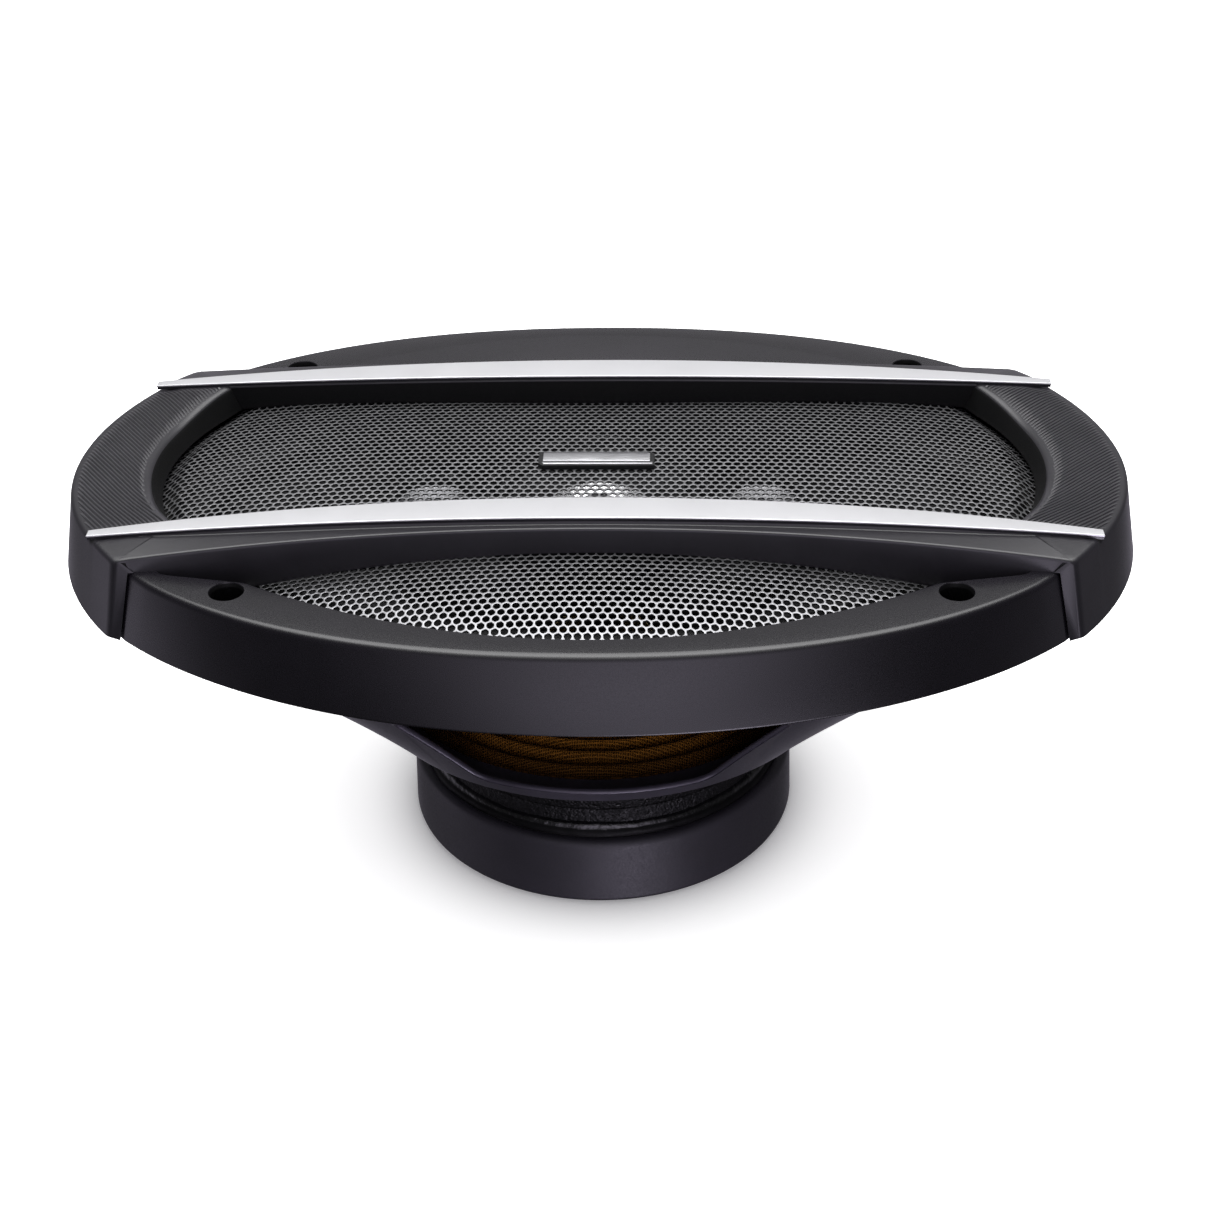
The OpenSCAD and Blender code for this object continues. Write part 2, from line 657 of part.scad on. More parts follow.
magnet_boot();
yoke();
ferrite_magnet();
top_plate();
adhesive_bead();
basket();
basket_wall();
flange_gasket();
cone_surround();
spider();
woofer_cone();
voice_coil_former();
voice_coil();
centre_post();
post_screw();
midrange_motor();
tweeter_bridge();
midrange_trim_ring();
midrange_surround();
midrange_cone();
midrange_former();
midrange_dust_cap();
left_tweeter_housing();
right_tweeter_housing();
left_tweeter_diaphragm();
right_tweeter_diaphragm();
terminal_bracket();
terminal_board();
positive_terminal();
negative_terminal();
terminal_rivets();
tinsel_leads();
crossover_capacitor();
grille_ring();
bezel();
front_trim_strip();
rear_trim_strip();
centre_grille();
front_grille();
rear_panel();
badge_plate();
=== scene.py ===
import math

import bmesh
import bpy
import numpy as np
from mathutils import Matrix, Vector


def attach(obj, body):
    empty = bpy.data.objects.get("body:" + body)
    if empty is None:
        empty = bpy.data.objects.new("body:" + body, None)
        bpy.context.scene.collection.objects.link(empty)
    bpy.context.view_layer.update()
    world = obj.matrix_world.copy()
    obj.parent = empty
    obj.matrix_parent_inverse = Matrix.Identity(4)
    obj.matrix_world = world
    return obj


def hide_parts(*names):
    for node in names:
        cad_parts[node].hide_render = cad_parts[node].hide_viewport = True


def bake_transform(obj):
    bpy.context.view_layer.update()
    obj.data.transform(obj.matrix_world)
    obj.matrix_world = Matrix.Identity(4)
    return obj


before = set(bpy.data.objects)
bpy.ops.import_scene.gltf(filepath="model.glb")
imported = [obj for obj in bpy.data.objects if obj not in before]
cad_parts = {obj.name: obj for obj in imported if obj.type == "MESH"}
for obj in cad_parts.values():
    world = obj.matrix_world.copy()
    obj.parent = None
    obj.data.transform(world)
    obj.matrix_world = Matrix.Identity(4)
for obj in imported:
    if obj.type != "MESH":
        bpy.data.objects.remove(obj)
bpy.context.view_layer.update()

MM = 0.001
TURN = 2 * math.pi


# --- driving sizes, as in the CAD model ---
SCREW_X, SCREW_Y = 79.4, 56.4  # screw holes, from the centre
SCREW_R, POCKET_R = 2.4, 3.8  # screw holes, and the pockets over them for the heads
SCREW_CORNERS = [(sx * SCREW_X, sy * SCREW_Y, 0) for sx in (-1, 1) for sy in (-1, 1)]
FACE_Z = 77.65  # mounting face
RIM_Z = 93.7  # flat rim of the grille ring
RING_T = 2.4  # thickness of the ring's wall
SHELF_Z = 78.85  # top of the basket's flange
PANEL_Z = 96.2  # top of the end panels
STRIP_TOP = 103.2  # highest point of the trim strips
OPEN_A, OPEN_B = 106.7, 31.25  # opening between the crossbars and end panels
CORNER_X, CORNER_Y = 106, 48.5  # where the bezel's end wall starts
STRIP_A = 113.6  # half length of a trim strip
TIP_X = 76  # where the crescents run out
MESH_T = 0.8  # thickness of the CAD model's sheets
SHEET_T = 0.4  # the perforated sheets' metal, inside that thickness
RISER = 0.8  # step under the outer edge of a trim strip
SILL_Z = 43.2  # lower edge of the basket's windows
SEAT_Z = 41.4  # seat of the spider
WALL_A, WALL_B, WALL_T = 112, 74, 1.3  # top of the basket's wall, and its thickness
WALL_Z = 70  # above this the wall stands upright
INNER_LOW, INNER_HIGH = 42.3, 70.5  # lower and upper end of the wall's inner slope
NECK_TOP = 40.1  # top of the basket's neck
SPIDER_GLUE_R = 49.4  # outside this radius the spider is glued to its seat
LIP_R, LIP_Z = 61.2, 40.5  # lower lip of the basket
BOOT_R = 48.8  # magnet cover
MAGNET_R = 45.8  # magnet, with a thin gap to its cover
PLATE_R = 44.2  # front plate on the magnet
PLATE_LOW, PLATE_TOP = 18.8, 25  # its underside and its top
MID_Z = 80  # seat of the three small drivers
TWEETER_X = 39.8  # from the centre to a tweeter's axis
SPIDER_IN, SPIDER_OUT, SPIDER_PITCH = 13.35, 54.4, 4.6  # its radii, and the width of a roll
CONE_A, CONE_B = 92, 54  # mouth of the cone
END_A, END_B = 125, 91.5  # oval on which an end wall's upper edge lies
CRISP = 38  # edges that turn by more degrees than this are shaded sharp


# --- helpers for numbers and outlines ---
def mix(a, b, k):
    return a + (b - a) * k


def ease(value):
    k = np.clip(value, 0, 1)
    return k * k * (3 - 2 * k)


def oval_r(a, b, t):
    return 1 / np.sqrt((np.cos(t) / a) ** 2 + (np.sin(t) / b) ** 2)


def oval_x(a, b, y):
    return a * math.sqrt(max(0, 1 - (y / b) ** 2))


def super_r(a, b, n, t):
    return (np.abs(np.cos(t) / a) ** n + np.abs(np.sin(t) / b) ** n) ** (-1 / n)


def ring_r(t, z):
    """Outer edge of the grille ring: an oval, set back where the bezel's end walls cover it."""
    k = (z - FACE_Z) / (RIM_Z - FACE_Z)
    crescent = mix(oval_r(129.5, 88.5, t), super_r(123.2, 82, 2.17, t), k)
    covered = oval_r(mix(124.8, 121.6, k), mix(95.9, 90, k), t)
    return np.minimum(crescent, covered)


def rim_edge_y(x):
    """Inner edge of the flat rim, as the distance from the long axis."""
    return np.maximum(75.4 - 39.3 * (x / 100) ** 2, 52.9 - 0.185 * (np.abs(x) - 74.75))


def rim_edge_r(t):
    low, high = np.full_like(t, 20.0), np.full_like(t, 140.0)
    for _ in range(24):
        r = (low + high) / 2
        outside = r * np.abs(np.sin(t)) > rim_edge_y(r * np.cos(t))
        low, high = np.where(outside, low, r), np.where(outside, r, high)
    end_limit = (OPEN_A + 1.8) / np.maximum(np.abs(np.cos(t)), 0.01)
    return np.minimum(np.minimum(low, end_limit), ring_r(t, RIM_Z) - 5.2)


def mesh_rim_z(x):
    return RIM_Z - 2.8 - 2.3 * (np.minimum(np.abs(x), TIP_X) / TIP_X) ** 2


def mesh_bar_z(x):
    return RIM_Z + 1.95 - 7.05 * (np.minimum(np.abs(x), TIP_X) / TIP_X) ** 2


def mesh_mid_z(x, y):
    return RIM_Z + 1.9 - 5.5 * (x / 104) ** 4 + 1.4 * np.maximum(0, 1 - (y / OPEN_B) ** 2)


def strip_in(x):
    return OPEN_B + 5.65 * (x / STRIP_A) ** 2


def strip_out(x):
    return OPEN_B + 9.25 - 0.9 * (x / STRIP_A) ** 2


def strip_z(x):
    return STRIP_TOP - 5.2 * (x / STRIP_A) ** 2


def slope_y(x):
    return 43 + 5.5 * (x / CORNER_X) ** 2


def slope_z(x):
    return STRIP_TOP - 1.3 - 5.3 * (x / CORNER_X) ** 2


def seat_top(x):
    return strip_z(x) - 1.05


def bar_foot(x):
    if abs(x) > 100.5:
        return RIM_Z + 0.05
    if abs(x) > 80:
        return mesh_rim_z(x) - MESH_T + 0.05
    return mesh_bar_z(x)


def panel_top(x, y):
    return mix(PANEL_Z, np.maximum(PANEL_Z, seat_top(x)), ease((np.abs(y) - 14) / 21))


def open_x(y):
    return OPEN_A - y * y / 100


def crescent_z(x, y):
    """Top of a crescent sheet at a distance y from the long axis."""
    near, far = slope_y(x) - 1.2, rim_edge_y(x) - 0.2
    k = np.clip((y - near) / np.maximum(far - near, 0.5), -0.2, 1.2)
    rise = np.clip((y - near - 2.4) / np.maximum(far - near - 2.4, 0.5), 0, 1)
    return mix(mesh_bar_z(x), mesh_rim_z(x), np.abs(k) ** 3) + 1.6 * rise * (1 - rise) - 0.05


# --- helpers for shells ---
def around(profile, steps):
    """Sections round the Z axis, from pairs of radius and height that may change with the angle."""
    t = np.arange(steps) * TURN / steps
    columns = [[r * np.cos(t), r * np.sin(t), z + 0 * t] for r, z in profile(t)]
    return np.moveaxis(np.array(columns), 2, 0)


def soften(sections, radii, steps=4):
    """Rounds the corners of a row of sections. A radius is one number a corner, or one a section."""
    sections = np.asarray(sections, float)
    count, size = sections.shape[:2]
    radii = np.broadcast_to(np.asarray(radii, float), (count, size))
    points = []
    for i in range(size):
        corner = sections[:, i]
        if radii[:, i].max() == 0:
            points.append(corner)
            continue
        arms = []
        for other in (sections[:, i - 1], sections[:, (i + 1) % size]):
            edge = other - corner
            length = np.maximum(np.linalg.norm(edge, axis=1), 1e-6)
            reach = np.minimum(radii[:, i], 0.45 * length)
            arms.append(edge * (reach / length)[:, None])
        for u in np.linspace(0, 1, steps + 1):
            points.append(corner + arms[0] * (1 - u) ** 2 + arms[1] * u ** 2)
    return np.stack(points, axis=1)


def skin(sections, closed=True, kind=0):
    """Joins a row of closed sections into one shell, and caps its ends if it is open."""
    sections = np.asarray(sections, float)
    count, size = sections.shape[:2]
    rows = np.arange(count if closed else count - 1)
    i, j = np.meshgrid(rows, np.arange(size), indexing="ij")
    after, beside = (i + 1) % count, (j + 1) % size
    corners = [i * size + j, i * size + beside, after * size + beside, after * size + j]
    faces = np.stack(corners, -1).reshape(-1, 4).tolist()
    if not closed:
        faces += [list(range(size)), [(count - 1) * size + j for j in range(size)]]
    return sections.reshape(-1, 3), faces, kind


def lathe(profile, radii=0, steps=192, centre=(0, 0, 0), kind=0):
    """A turned shell from a closed profile of [radius, height] corners."""
    sections = around(lambda t: profile, steps)
    if np.any(radii):
        sections = soften(sections, radii)
    return skin(sections + np.array(centre, float), kind=kind)


def tube(path, radius, sides=10, closed=False):
    """A round bead swept along a path."""
    path = np.asarray(path, float)
    if closed:
        run = np.roll(path, -1, 0) - np.roll(path, 1, 0)
    else:
        run = np.gradient(path, axis=0)
    run /= np.linalg.norm(run, axis=1)[:, None]
    outward = np.cross(run, [0, 0, 1.0])
    outward /= np.maximum(np.linalg.norm(outward, axis=1), 1e-6)[:, None]
    upward = np.cross(outward, run)
    turn = np.arange(sides) * TURN / sides
    ring = [outward * math.cos(a) * radius + upward * math.sin(a) * radius for a in turn]
    return skin(np.moveaxis(path[None] + np.array(ring), 0, 1), closed)


def new_object(name, parts, sharp_angle=CRISP):
    """A mesh object from shells in millimetres, with clean outward normals and crisp edges."""
    points, faces, kinds = [], [], []
    first = 0
    for part_points, part_faces, kind in parts:
        points.append(part_points)
        faces += [[first + i for i in face] for face in part_faces]
        kinds += [kind] * len(part_faces)
        first += len(part_points)
    mesh = bpy.data.meshes.new(name)
    mesh.from_pydata((np.concatenate(points) * MM).tolist(), [], faces)
    mesh.polygons.foreach_set("material_index", kinds)
    work = bmesh.new()
    work.from_mesh(mesh)
    bmesh.ops.remove_doubles(work, verts=work.verts, dist=2e-6)
    bmesh.ops.dissolve_degenerate(work, edges=work.edges, dist=1e-6)
    bmesh.ops.recalc_face_normals(work, faces=work.faces)
    work.to_mesh(mesh)
    work.free()
    obj = bpy.data.objects.new(name, mesh)
    bpy.context.collection.objects.link(obj)
    smooth(mesh, sharp_angle)
    return obj


def smooth(mesh, sharp_angle=CRISP):
    mesh.polygons.foreach_set("use_smooth", [True] * len(mesh.polygons))
    mesh.set_sharp_from_angle(angle=math.radians(sharp_angle))


def cut(obj, parts):
    """Cuts shells out of an object."""
    cutter = new_object("cutter", parts)
    step = obj.modifiers.new("cut", "BOOLEAN")
    step.operation = "DIFFERENCE"
    step.solver = "EXACT"
    step.object = cutter
    graph = bpy.context.evaluated_depsgraph_get()
    mesh = bpy.data.meshes.new_from_object(obj.evaluated_get(graph))
    obj.modifiers.clear()
    obj.data = mesh
    bpy.data.objects.remove(cutter)
    smooth(mesh)


def merge(obj, parts):
    """Adds shells to an object that has been cut."""
    extra = new_object("extra", parts)
    joined = bmesh.new()
    joined.from_mesh(obj.data)
    joined.from_mesh(extra.data)
    bmesh.ops.recalc_face_normals(joined, faces=joined.faces)
    joined.to_mesh(obj.data)
    joined.free()
    bpy.data.objects.remove(extra)
    smooth(obj.data)


def zone(obj, index, test):
    """Gives another material to those faces of the object's first one that pass a test."""
    for polygon in obj.data.polygons:
        if polygon.material_index == 0 and test(polygon.normal, *(polygon.center / MM)):
            polygon.material_index = index


def settle(obj, materials, body, replaces):
    """Gives a finished shape its materials, its body and the CAD nodes that it stands for."""
    for material in materials:
        obj.data.materials.append(material)
    if body:
        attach(obj, body)
    if replaces:
        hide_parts(*replaces)
    return obj


def piece(name, parts, material, replaces=(), body="frame", sharp_angle=CRISP):
    materials = material if isinstance(material, list) else [material]
    obj = new_object(name, parts, sharp_angle)
    return settle(obj, materials, body, replaces)


# --- materials ---
WAVE_BANDS = 3.18  # bands in a metre of a wave texture of scale 1


def add(tree, kind, inputs, **settings):
    """A new shader node with these inputs and settings."""
    node = tree.nodes.new("ShaderNode" + kind)
    for name, value in settings.items():
        setattr(node, name, value)
    feed(tree, node, inputs)
    return node


def feed(tree, node, inputs):
    """Sets a node's inputs, each to a plain value or to the output that it is linked from."""
    for name, value in inputs.items():
        if isinstance(value, bpy.types.NodeSocket):
            tree.links.new(value, node.inputs[name])
        else:
            node.inputs[name].default_value = value


def new_material(name):
    material = bpy.data.materials.new(name)
    material.use_nodes = True
    tree = material.node_tree
    place = add(tree, "TexCoord", {}).outputs["Object"]
    return material, tree, tree.nodes["Principled BSDF"], place


def noise(tree, place, size, detail=3.0, stretch=None):
    """Noise whose lumps are about `size` millimetres across."""
    if stretch:
        place = add(tree, "Mapping", {"Vector": place, "Scale": stretch}).outputs["Vector"]
    inputs = {"Vector": place, "Scale": 1 / (size * MM), "Detail": detail}
    return add(tree, "TexNoise", inputs).outputs["Fac"]


def ramp(tree, value, low, high, start=0.3, end=0.7):
    """A colour that goes from low to high while the value goes from start to end."""
    node = add(tree, "ValToRGB", {"Fac": value})
    for stop, position, colour in zip(node.color_ramp.elements, (start, end), (low, high)):
        stop.position = position
        stop.color = (*colour, 1)
    return node.outputs["Color"]


def spread(tree, value, low, high, start=0.3, end=0.7):
    """A number that goes from low to high while the value goes from start to end."""
    inputs = {"Value": value, "From Min": start, "From Max": end, "To Min": low, "To Max": high}
    return add(tree, "MapRange", inputs).outputs["Result"]


def bump(tree, value, depth, under=None):
    """Relief of `depth` millimetres, on top of an earlier relief if one is given."""
    inputs = {"Height": value, "Strength": 1, "Distance": depth * MM}
    if under:
        inputs["Normal"] = under
    return add(tree, "Bump", inputs).outputs["Normal"]


def finish(name, colour, rough=(0.4, 0.5), metal=0.0, tone=0.12, patch=9.0, grain=0.3, depth=0.01,
           waviness=0.0, sheen=0.0, coat=0.0, specular=0.5):
    """A surface with slow changes of tone, and fine grain in its roughness and its relief."""
    material, tree, shader, place = new_material(name)
    slow = noise(tree, place, patch)
    fine = noise(tree, place, grain, 4.0)
    low = [c * (1 - tone) for c in colour]
    high = [min(c * (1 + tone), 1) for c in colour]
    relief = bump(tree, fine, depth)
    if waviness:
        relief = bump(tree, slow, waviness, relief)
    feed(tree, shader, {
        "Base Color": ramp(tree, slow, low, high), "Roughness": spread(tree, fine, *rough),
        "Normal": relief, "Metallic": metal, "Specular IOR Level": specular,
        "Coat Weight": coat, "Sheen Weight": sheen})
    return material


def darkened(tree, place, colour, near, far):
    """Painted shade: the colour fading to a fifth of itself between two distances from the Z axis."""
    flat = add(tree, "VectorMath", {0: place, 1: (1, 1, 0)}, operation="MULTIPLY").outputs["Vector"]
    reach = add(tree, "VectorMath", {0: flat}, operation="LENGTH").outputs["Value"]
    fade = spread(tree, reach, 1, 0.2, near * MM, far * MM)
    return add(tree, "VectorMath", {0: colour, "Scale": fade}, operation="SCALE").outputs["Vector"]


def woven(name, warp, weft, pitch, distortion=0.6, glue_and_shade=None):
    """Open cloth: two sets of threads that cross. Painted shade darkens it between two radii."""
    material, tree, shader, place = new_material(name)
    inputs = {"Vector": place, "Scale": 1 / (pitch * MM * WAVE_BANDS), "Distortion": distortion,
              "Detail Scale": 2}
    threads = [add(tree, "TexWave", inputs, bands_direction=axis).outputs["Fac"] for axis in "XY"]
    weave = add(tree, "Math", {0: threads[0], 1: threads[1]}, operation="MAXIMUM").outputs[0]
    colour = ramp(tree, weave, warp, weft, 0.45, 0.95)
    if glue_and_shade:
        colour = darkened(tree, place, colour, *glue_and_shade)
    fuzz = noise(tree, place, 0.25, 5.0)
    feed(tree, shader, {
        "Base Color": colour, "Roughness": spread(tree, fuzz, 0.55, 0.9),
        "Normal": bump(tree, fuzz, 0.05, bump(tree, weave, 0.25)), "Specular IOR Level": 0.15})
    return material


def granular(name, colour, size, depth):
    """Coarse, gritty paint."""
    material, tree, shader, place = new_material(name)
    cells = add(tree, "TexVoronoi", {"Vector": place, "Scale": 1 / (size * MM)}).outputs["Distance"]
    lumps = noise(tree, place, size * 1.7, 5.0)
    high = [min(c * 2.4, 1) for c in colour]
    feed(tree, shader, {
        "Base Color": ramp(tree, lumps, colour, high, 0.4, 0.75),
        "Roughness": spread(tree, lumps, 0.35, 0.75),
        "Normal": bump(tree, lumps, depth, bump(tree, cells, depth * 0.7)),
        "Specular IOR Level": 0.28})
    return material


def brushed(name, colour, rough, stretch):
    """Metal with fine lines along one direction."""
    material, tree, shader, place = new_material(name)
    lines = noise(tree, place, 0.25, 3.0, stretch)
    low = [c * 0.9 for c in colour]
    feed(tree, shader, {
        "Base Color": ramp(tree, noise(tree, place, 6.0), low, colour), "Metallic": 1,
        "Roughness": spread(tree, lines, *rough), "Normal": bump(tree, lines, 0.006)})
    return material


GRILLE_PLASTIC = finish("grille_plastic", (0.006, 0.0052, 0.0077), (0.24, 0.34), depth=0.0025)
BAR_PLASTIC = finish("bar_plastic", (0.015, 0.0141, 0.0175), (0.28, 0.4), depth=0.0025)
# Painted highlight: a lighter copy of the bar plastic for the ribs, which catch more light.
RIB_PAINTED_HIGHLIGHT = finish("rib_painted_highlight", (0.034, 0.033, 0.037), (0.3, 0.42), depth=0.0025)
SILVER = finish("silver_trim", (0.56, 0.56, 0.575), (0.34, 0.44), metal=0.55, tone=0.03, patch=12,
                grain=0.12, depth=0.004)
BADGE_SILVER = brushed("badge_silver", (0.62, 0.62, 0.64), (0.25, 0.42), (0.05, 1, 1))
MESH_STEEL = finish("mesh_steel", (0.21, 0.21, 0.219), (0.28, 0.42), metal=0.8, patch=5, grain=0.18)
BOOT_RUBBER = finish("boot_rubber", (0.032, 0.03, 0.038), (0.48, 0.6), grain=0.5, depth=0.012,
                     patch=14, waviness=0.12)
BASKET_PAINT = finish("basket_paint", (0.085, 0.078, 0.102), (0.3, 0.42), metal=0.2, grain=0.4)
GRIT = granular("gritty_black", (0.0022, 0.0022, 0.0025), 0.7, 0.3)
EPOXY = finish("black_epoxy", (0.006, 0.006, 0.0065), (0.1, 0.24), grain=1.1, depth=0.3, patch=4,
               waviness=0.4, coat=0.5)
PLATED = brushed("plated_steel", (0.5, 0.51, 0.53), (0.28, 0.45), (1, 1, 0.2))
FERRITE = finish("ferrite", (0.012, 0.012, 0.013), (0.5, 0.7), metal=0.2, tone=0.2, patch=3,
                 grain=0.25, depth=0.03)
BLACK_STEEL = granular("black_steel", (0.012, 0.012, 0.013), 0.5, 0.05)
GASKET = finish("gasket_board", (0.04, 0.038, 0.036), (0.8, 0.95), grain=0.6, depth=0.06, tone=0.25)
ROLL_RUBBER = finish("surround_rubber", (0.007, 0.007, 0.0075), (0.42, 0.55), grain=0.6,
                     depth=0.015, specular=0.25)
# Painted shade: the spider's cloth darkens from 42 to 54 mm out, towards its rim.
SPIDER_CLOTH = woven("spider_cloth", (0.11, 0.042, 0.0035), (0.5, 0.21, 0.026), 0.55, 1.5, (42, 54))
PAPER = finish("cone_paper", (0.009, 0.009, 0.01), (0.6, 0.85), tone=0.3, patch=2.5, grain=0.4,
               depth=0.07, sheen=0.05, specular=0.2)
FILM = finish("former_film", (0.6, 0.45, 0.2), (0.25, 0.4), metal=0.1, grain=0.5, coat=0.3)
COPPER = brushed("coil_wire", (0.72, 0.32, 0.14), (0.25, 0.4), (0.1, 0.1, 2))
BRIDGE = finish("bridge_plastic", (0.009, 0.009, 0.01), (0.4, 0.55), depth=0.012, specular=0.25)
SILVER_FILM = finish("silver_film", (0.8, 0.8, 0.82), (0.14, 0.24), metal=0.9, tone=0.06, patch=4,
                     depth=0.012)
PIEZO_FILM = finish("piezo_film", (0.2, 0.2, 0.21), (0.2, 0.34), metal=0.8, tone=0.06, patch=4,
                    depth=0.012)
# Painted shade: a near-black stand-in for shade. It goes on the screw pockets, the bezel's inner walls,
# the sheets' hole walls and undersides, and the glue bead's lower band.
PAINTED_SHADE = finish("painted_shade_black", (0.0014, 0.0014, 0.0016), (0.5, 0.65), grain=0.4, specular=0.22)
BOARD = finish("fibre_board", (0.3, 0.19, 0.1), (0.6, 0.8), tone=0.25, patch=2, grain=0.35, depth=0.03)
TINNED = brushed("tinned_brass", (0.74, 0.73, 0.7), (0.25, 0.42), (1, 0.15, 1))
RIVET = finish("rivet_metal", (0.66, 0.6, 0.45), (0.28, 0.4), metal=1, tone=0.08, patch=2, grain=0.2)
BRAID = woven("tinsel_braid", (0.3, 0.2, 0.07), (0.78, 0.6, 0.3), 0.3)
SLEEVE = finish("capacitor_sleeve", (0.02, 0.045, 0.16), (0.25, 0.35), grain=0.5, coat=0.4)


# --- motor ---
def glue_profile(t):
    """Glue laid by hand round the front plate: its edges creep up and down, and it runs a little."""
    lump = 0.16 * np.sin(7 * t + 0.6) + 0.08 * np.sin(19 * t) + 0.03 * np.sin(53 * t + 2)
    fine = 0.05 * np.sin(41 * t + 1) + 0.03 * np.sin(73 * t)
    run = 0.24 * np.sin(9 * t) ** 2 + 0.08 * np.sin(23 * t + 1) ** 2
    return [[PLATE_R + 0 * t, 18.85], [45.82 + 0 * t, 18.85], [45.84 + 0 * t, 18.5 - run],
            [46.15 + lump, 18.45 - run], [46 + lump * 0.5, 19.2 + fine], [45.35 + fine, 19.9 + lump],
            [44.95 + fine, 20.8 + lump], [PLATE_R + 0 * t, 21.15 + lump]]


def make_motor():
    boot = [[0, 0], [BOOT_R - 0.8, 0], [BOOT_R, 0.8], [BOOT_R - 0.5, 16.9], [BOOT_R - 1.5, 17.9],
            [MAGNET_R + 0.05, 17.9], [MAGNET_R + 0.05, 1.4], [0, 1.4]]
    boot_radii = [0, 0.9, 0.7, 1.2, 0.8, 0.3, 0.3, 0]
    piece("boot_shell", [lathe(boot, boot_radii, 256)], BOOT_RUBBER, ["magnet_boot"])
    ferrite = [[22, 6.5], [MAGNET_R, 6.5], [MAGNET_R, PLATE_LOW], [22, PLATE_LOW]]
    piece("magnet_ring", [lathe(ferrite, 0.5)], FERRITE, ["ferrite_magnet"])
    plate = [[14.3, PLATE_LOW], [PLATE_R, PLATE_LOW], [PLATE_R, PLATE_TOP], [14.3, PLATE_TOP]]
    piece("front_plate", [lathe(plate, [0, 0.4, 0.4, 0.3], 256)], GRIT, ["top_plate"])
    shell = skin(soften(around(glue_profile, 900), [0, 0.1, 0.1, 0.1, 0.3, 0.3, 0.5, 0], 3))
    glue_and_shade = piece("glue_bead", [shell], [EPOXY, PAINTED_SHADE], ["adhesive_bead"])
    # Painted shade: the bead's lower band takes the near-black material.
    zone(glue_and_shade, 1, lambda normal, x, y, z: z < PLATE_LOW + 1.1)


# --- basket ---
def basket_profile(t):
    """Section of the pressed basket: outside from the bottom up, then back down the inside."""
    wall, flange, hole = oval_r(WALL_A, WALL_B, t), super_r(116, 77, 2.3, t), oval_r(104, 66, t)
    inner = wall - WALL_T
    return [[15, PLATE_TOP], [44.5, PLATE_TOP], [46.6, NECK_TOP], [LIP_R - 0.3, NECK_TOP],
            [LIP_R, LIP_Z], [wall, WALL_Z], [wall, FACE_Z], [flange, FACE_Z], [flange, SHELF_Z],
            [hole, SHELF_Z], [hole, FACE_Z], [inner, FACE_Z], [inner, INNER_HIGH],
            [LIP_R - 1, INNER_LOW], [LIP_R - WALL_T, SEAT_Z], [45.4, SEAT_Z], [43.2, PLATE_TOP + 1.3],
            [15, PLATE_TOP + 1.3]]


BASKET_RADII = [0, 0.8, 1.2, 0.5, 0.7, 2.5, 1, 0.3, 0.3, 0.3, 0.3, 0.8, 2.5, 0.6, 0.6, 1, 0.8, 0]


def window_outline(low_w, high_w, samples=14):
    """Outline of an opening in the basket's wall, as pairs of width and height, with round corners."""
    corners = np.array([[-low_w, SILL_Z], [low_w, SILL_Z], [high_w, 64], [high_w - 5, 67.5],
                        [5 - high_w, 67.5], [-high_w, 64]], float)
    flat = np.c_[corners, np.zeros(len(corners))][None]
    round_corners = soften(flat, [3.5, 3.5, 3, 3, 3, 3], 6)[0, :, :2]
    path = []
    for here, there in zip(round_corners, np.roll(round_corners, -1, 0)):
        count = max(1, int(np.linalg.norm(there - here) / 60 * samples))
        path += [mix(here, there, k / count) for k in range(count)]
    return np.array(path)


def on_wall(width, height, turn):
    """The point on the middle of the basket's wall at that width, for a window at the angle turn."""
    depth = 60.0
    for _ in range(12):
        angle = turn + math.atan2(width, depth)
        wall = oval_r(WALL_A, WALL_B, angle)
        outer = mix(LIP_R, wall, (height - LIP_Z) / (WALL_Z - LIP_Z))
        share = (height - INNER_LOW) / (INNER_HIGH - INNER_LOW)
        inner = mix(LIP_R - 1, wall - WALL_T, share)
        r = (outer + inner) / 2
        depth = math.sqrt(max(r * r - width * width, 1))
    return [r * math.cos(angle), r * math.sin(angle), height]


def make_basket():
    basket = new_object("basket_frame", [skin(soften(around(basket_profile, 288), BASKET_RADII, 3))])
    cutters, beads = [], []
    for quarter, (low_w, high_w) in enumerate([(22, 34), (26.5, 45), (22, 34), (26.5, 45)]):
        turn = quarter * TURN / 4
        outline = window_outline(low_w, high_w)
        outward = np.array([math.cos(turn), math.sin(turn), 0])
        across = np.array([-math.sin(turn), math.cos(turn), 0])
        near, far = ([outward * d + across * w + [0, 0, h] for w, h in outline] for d in (40, 130))
        cutters.append(skin(np.array([near, far]), closed=False))
        beads.append(tube([on_wall(w, h, turn) for w, h in outline], 0.85, 10, True))
    screw_hole = [[0, 76], [SCREW_R, 76], [SCREW_R, 81], [0, 81]]
    cutters += [lathe(screw_hole, 0, 32, corner) for corner in SCREW_CORNERS]
    for cutter in cutters:
        cut(basket, [cutter])
    merge(basket, beads)
    zone(basket, 1, lambda normal, x, y, z: z < NECK_TOP - 0.5 and math.hypot(x, y) > 40)
    settle(basket, [BASKET_PAINT, GRIT], "frame", ["basket", "basket_wall"])


def make_gasket():
    def profile(t):
        outer, inner = oval_r(109.5, 71.5, t), oval_r(104.5, 66.5, t)
        return [[inner, 79.45], [outer, 79.45], [outer, 81.25], [inner, 81.25]]
    shell = skin(soften(around(profile, 192), 0.4, 2))
    piece("gasket_ring", [shell], GASKET, ["flange_gasket"])


# --- moving parts ---
def soft_piece(name, parts, material, node, weight):
    """A piece that lies between the frame and a moving body; nothing binds it to the body, and it is
    attached to no body.

    `weight` maps its points to 0, by the frame, up to 1, by the body; the weights are worked out but
    not used.
    """
    obj = new_object(name, parts)
    settle(obj, [material], None, [node])
    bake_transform(obj)
    points = np.array([v.co for v in obj.data.vertices]) / MM
    weights = ease(weight(points)).astype(np.float32)


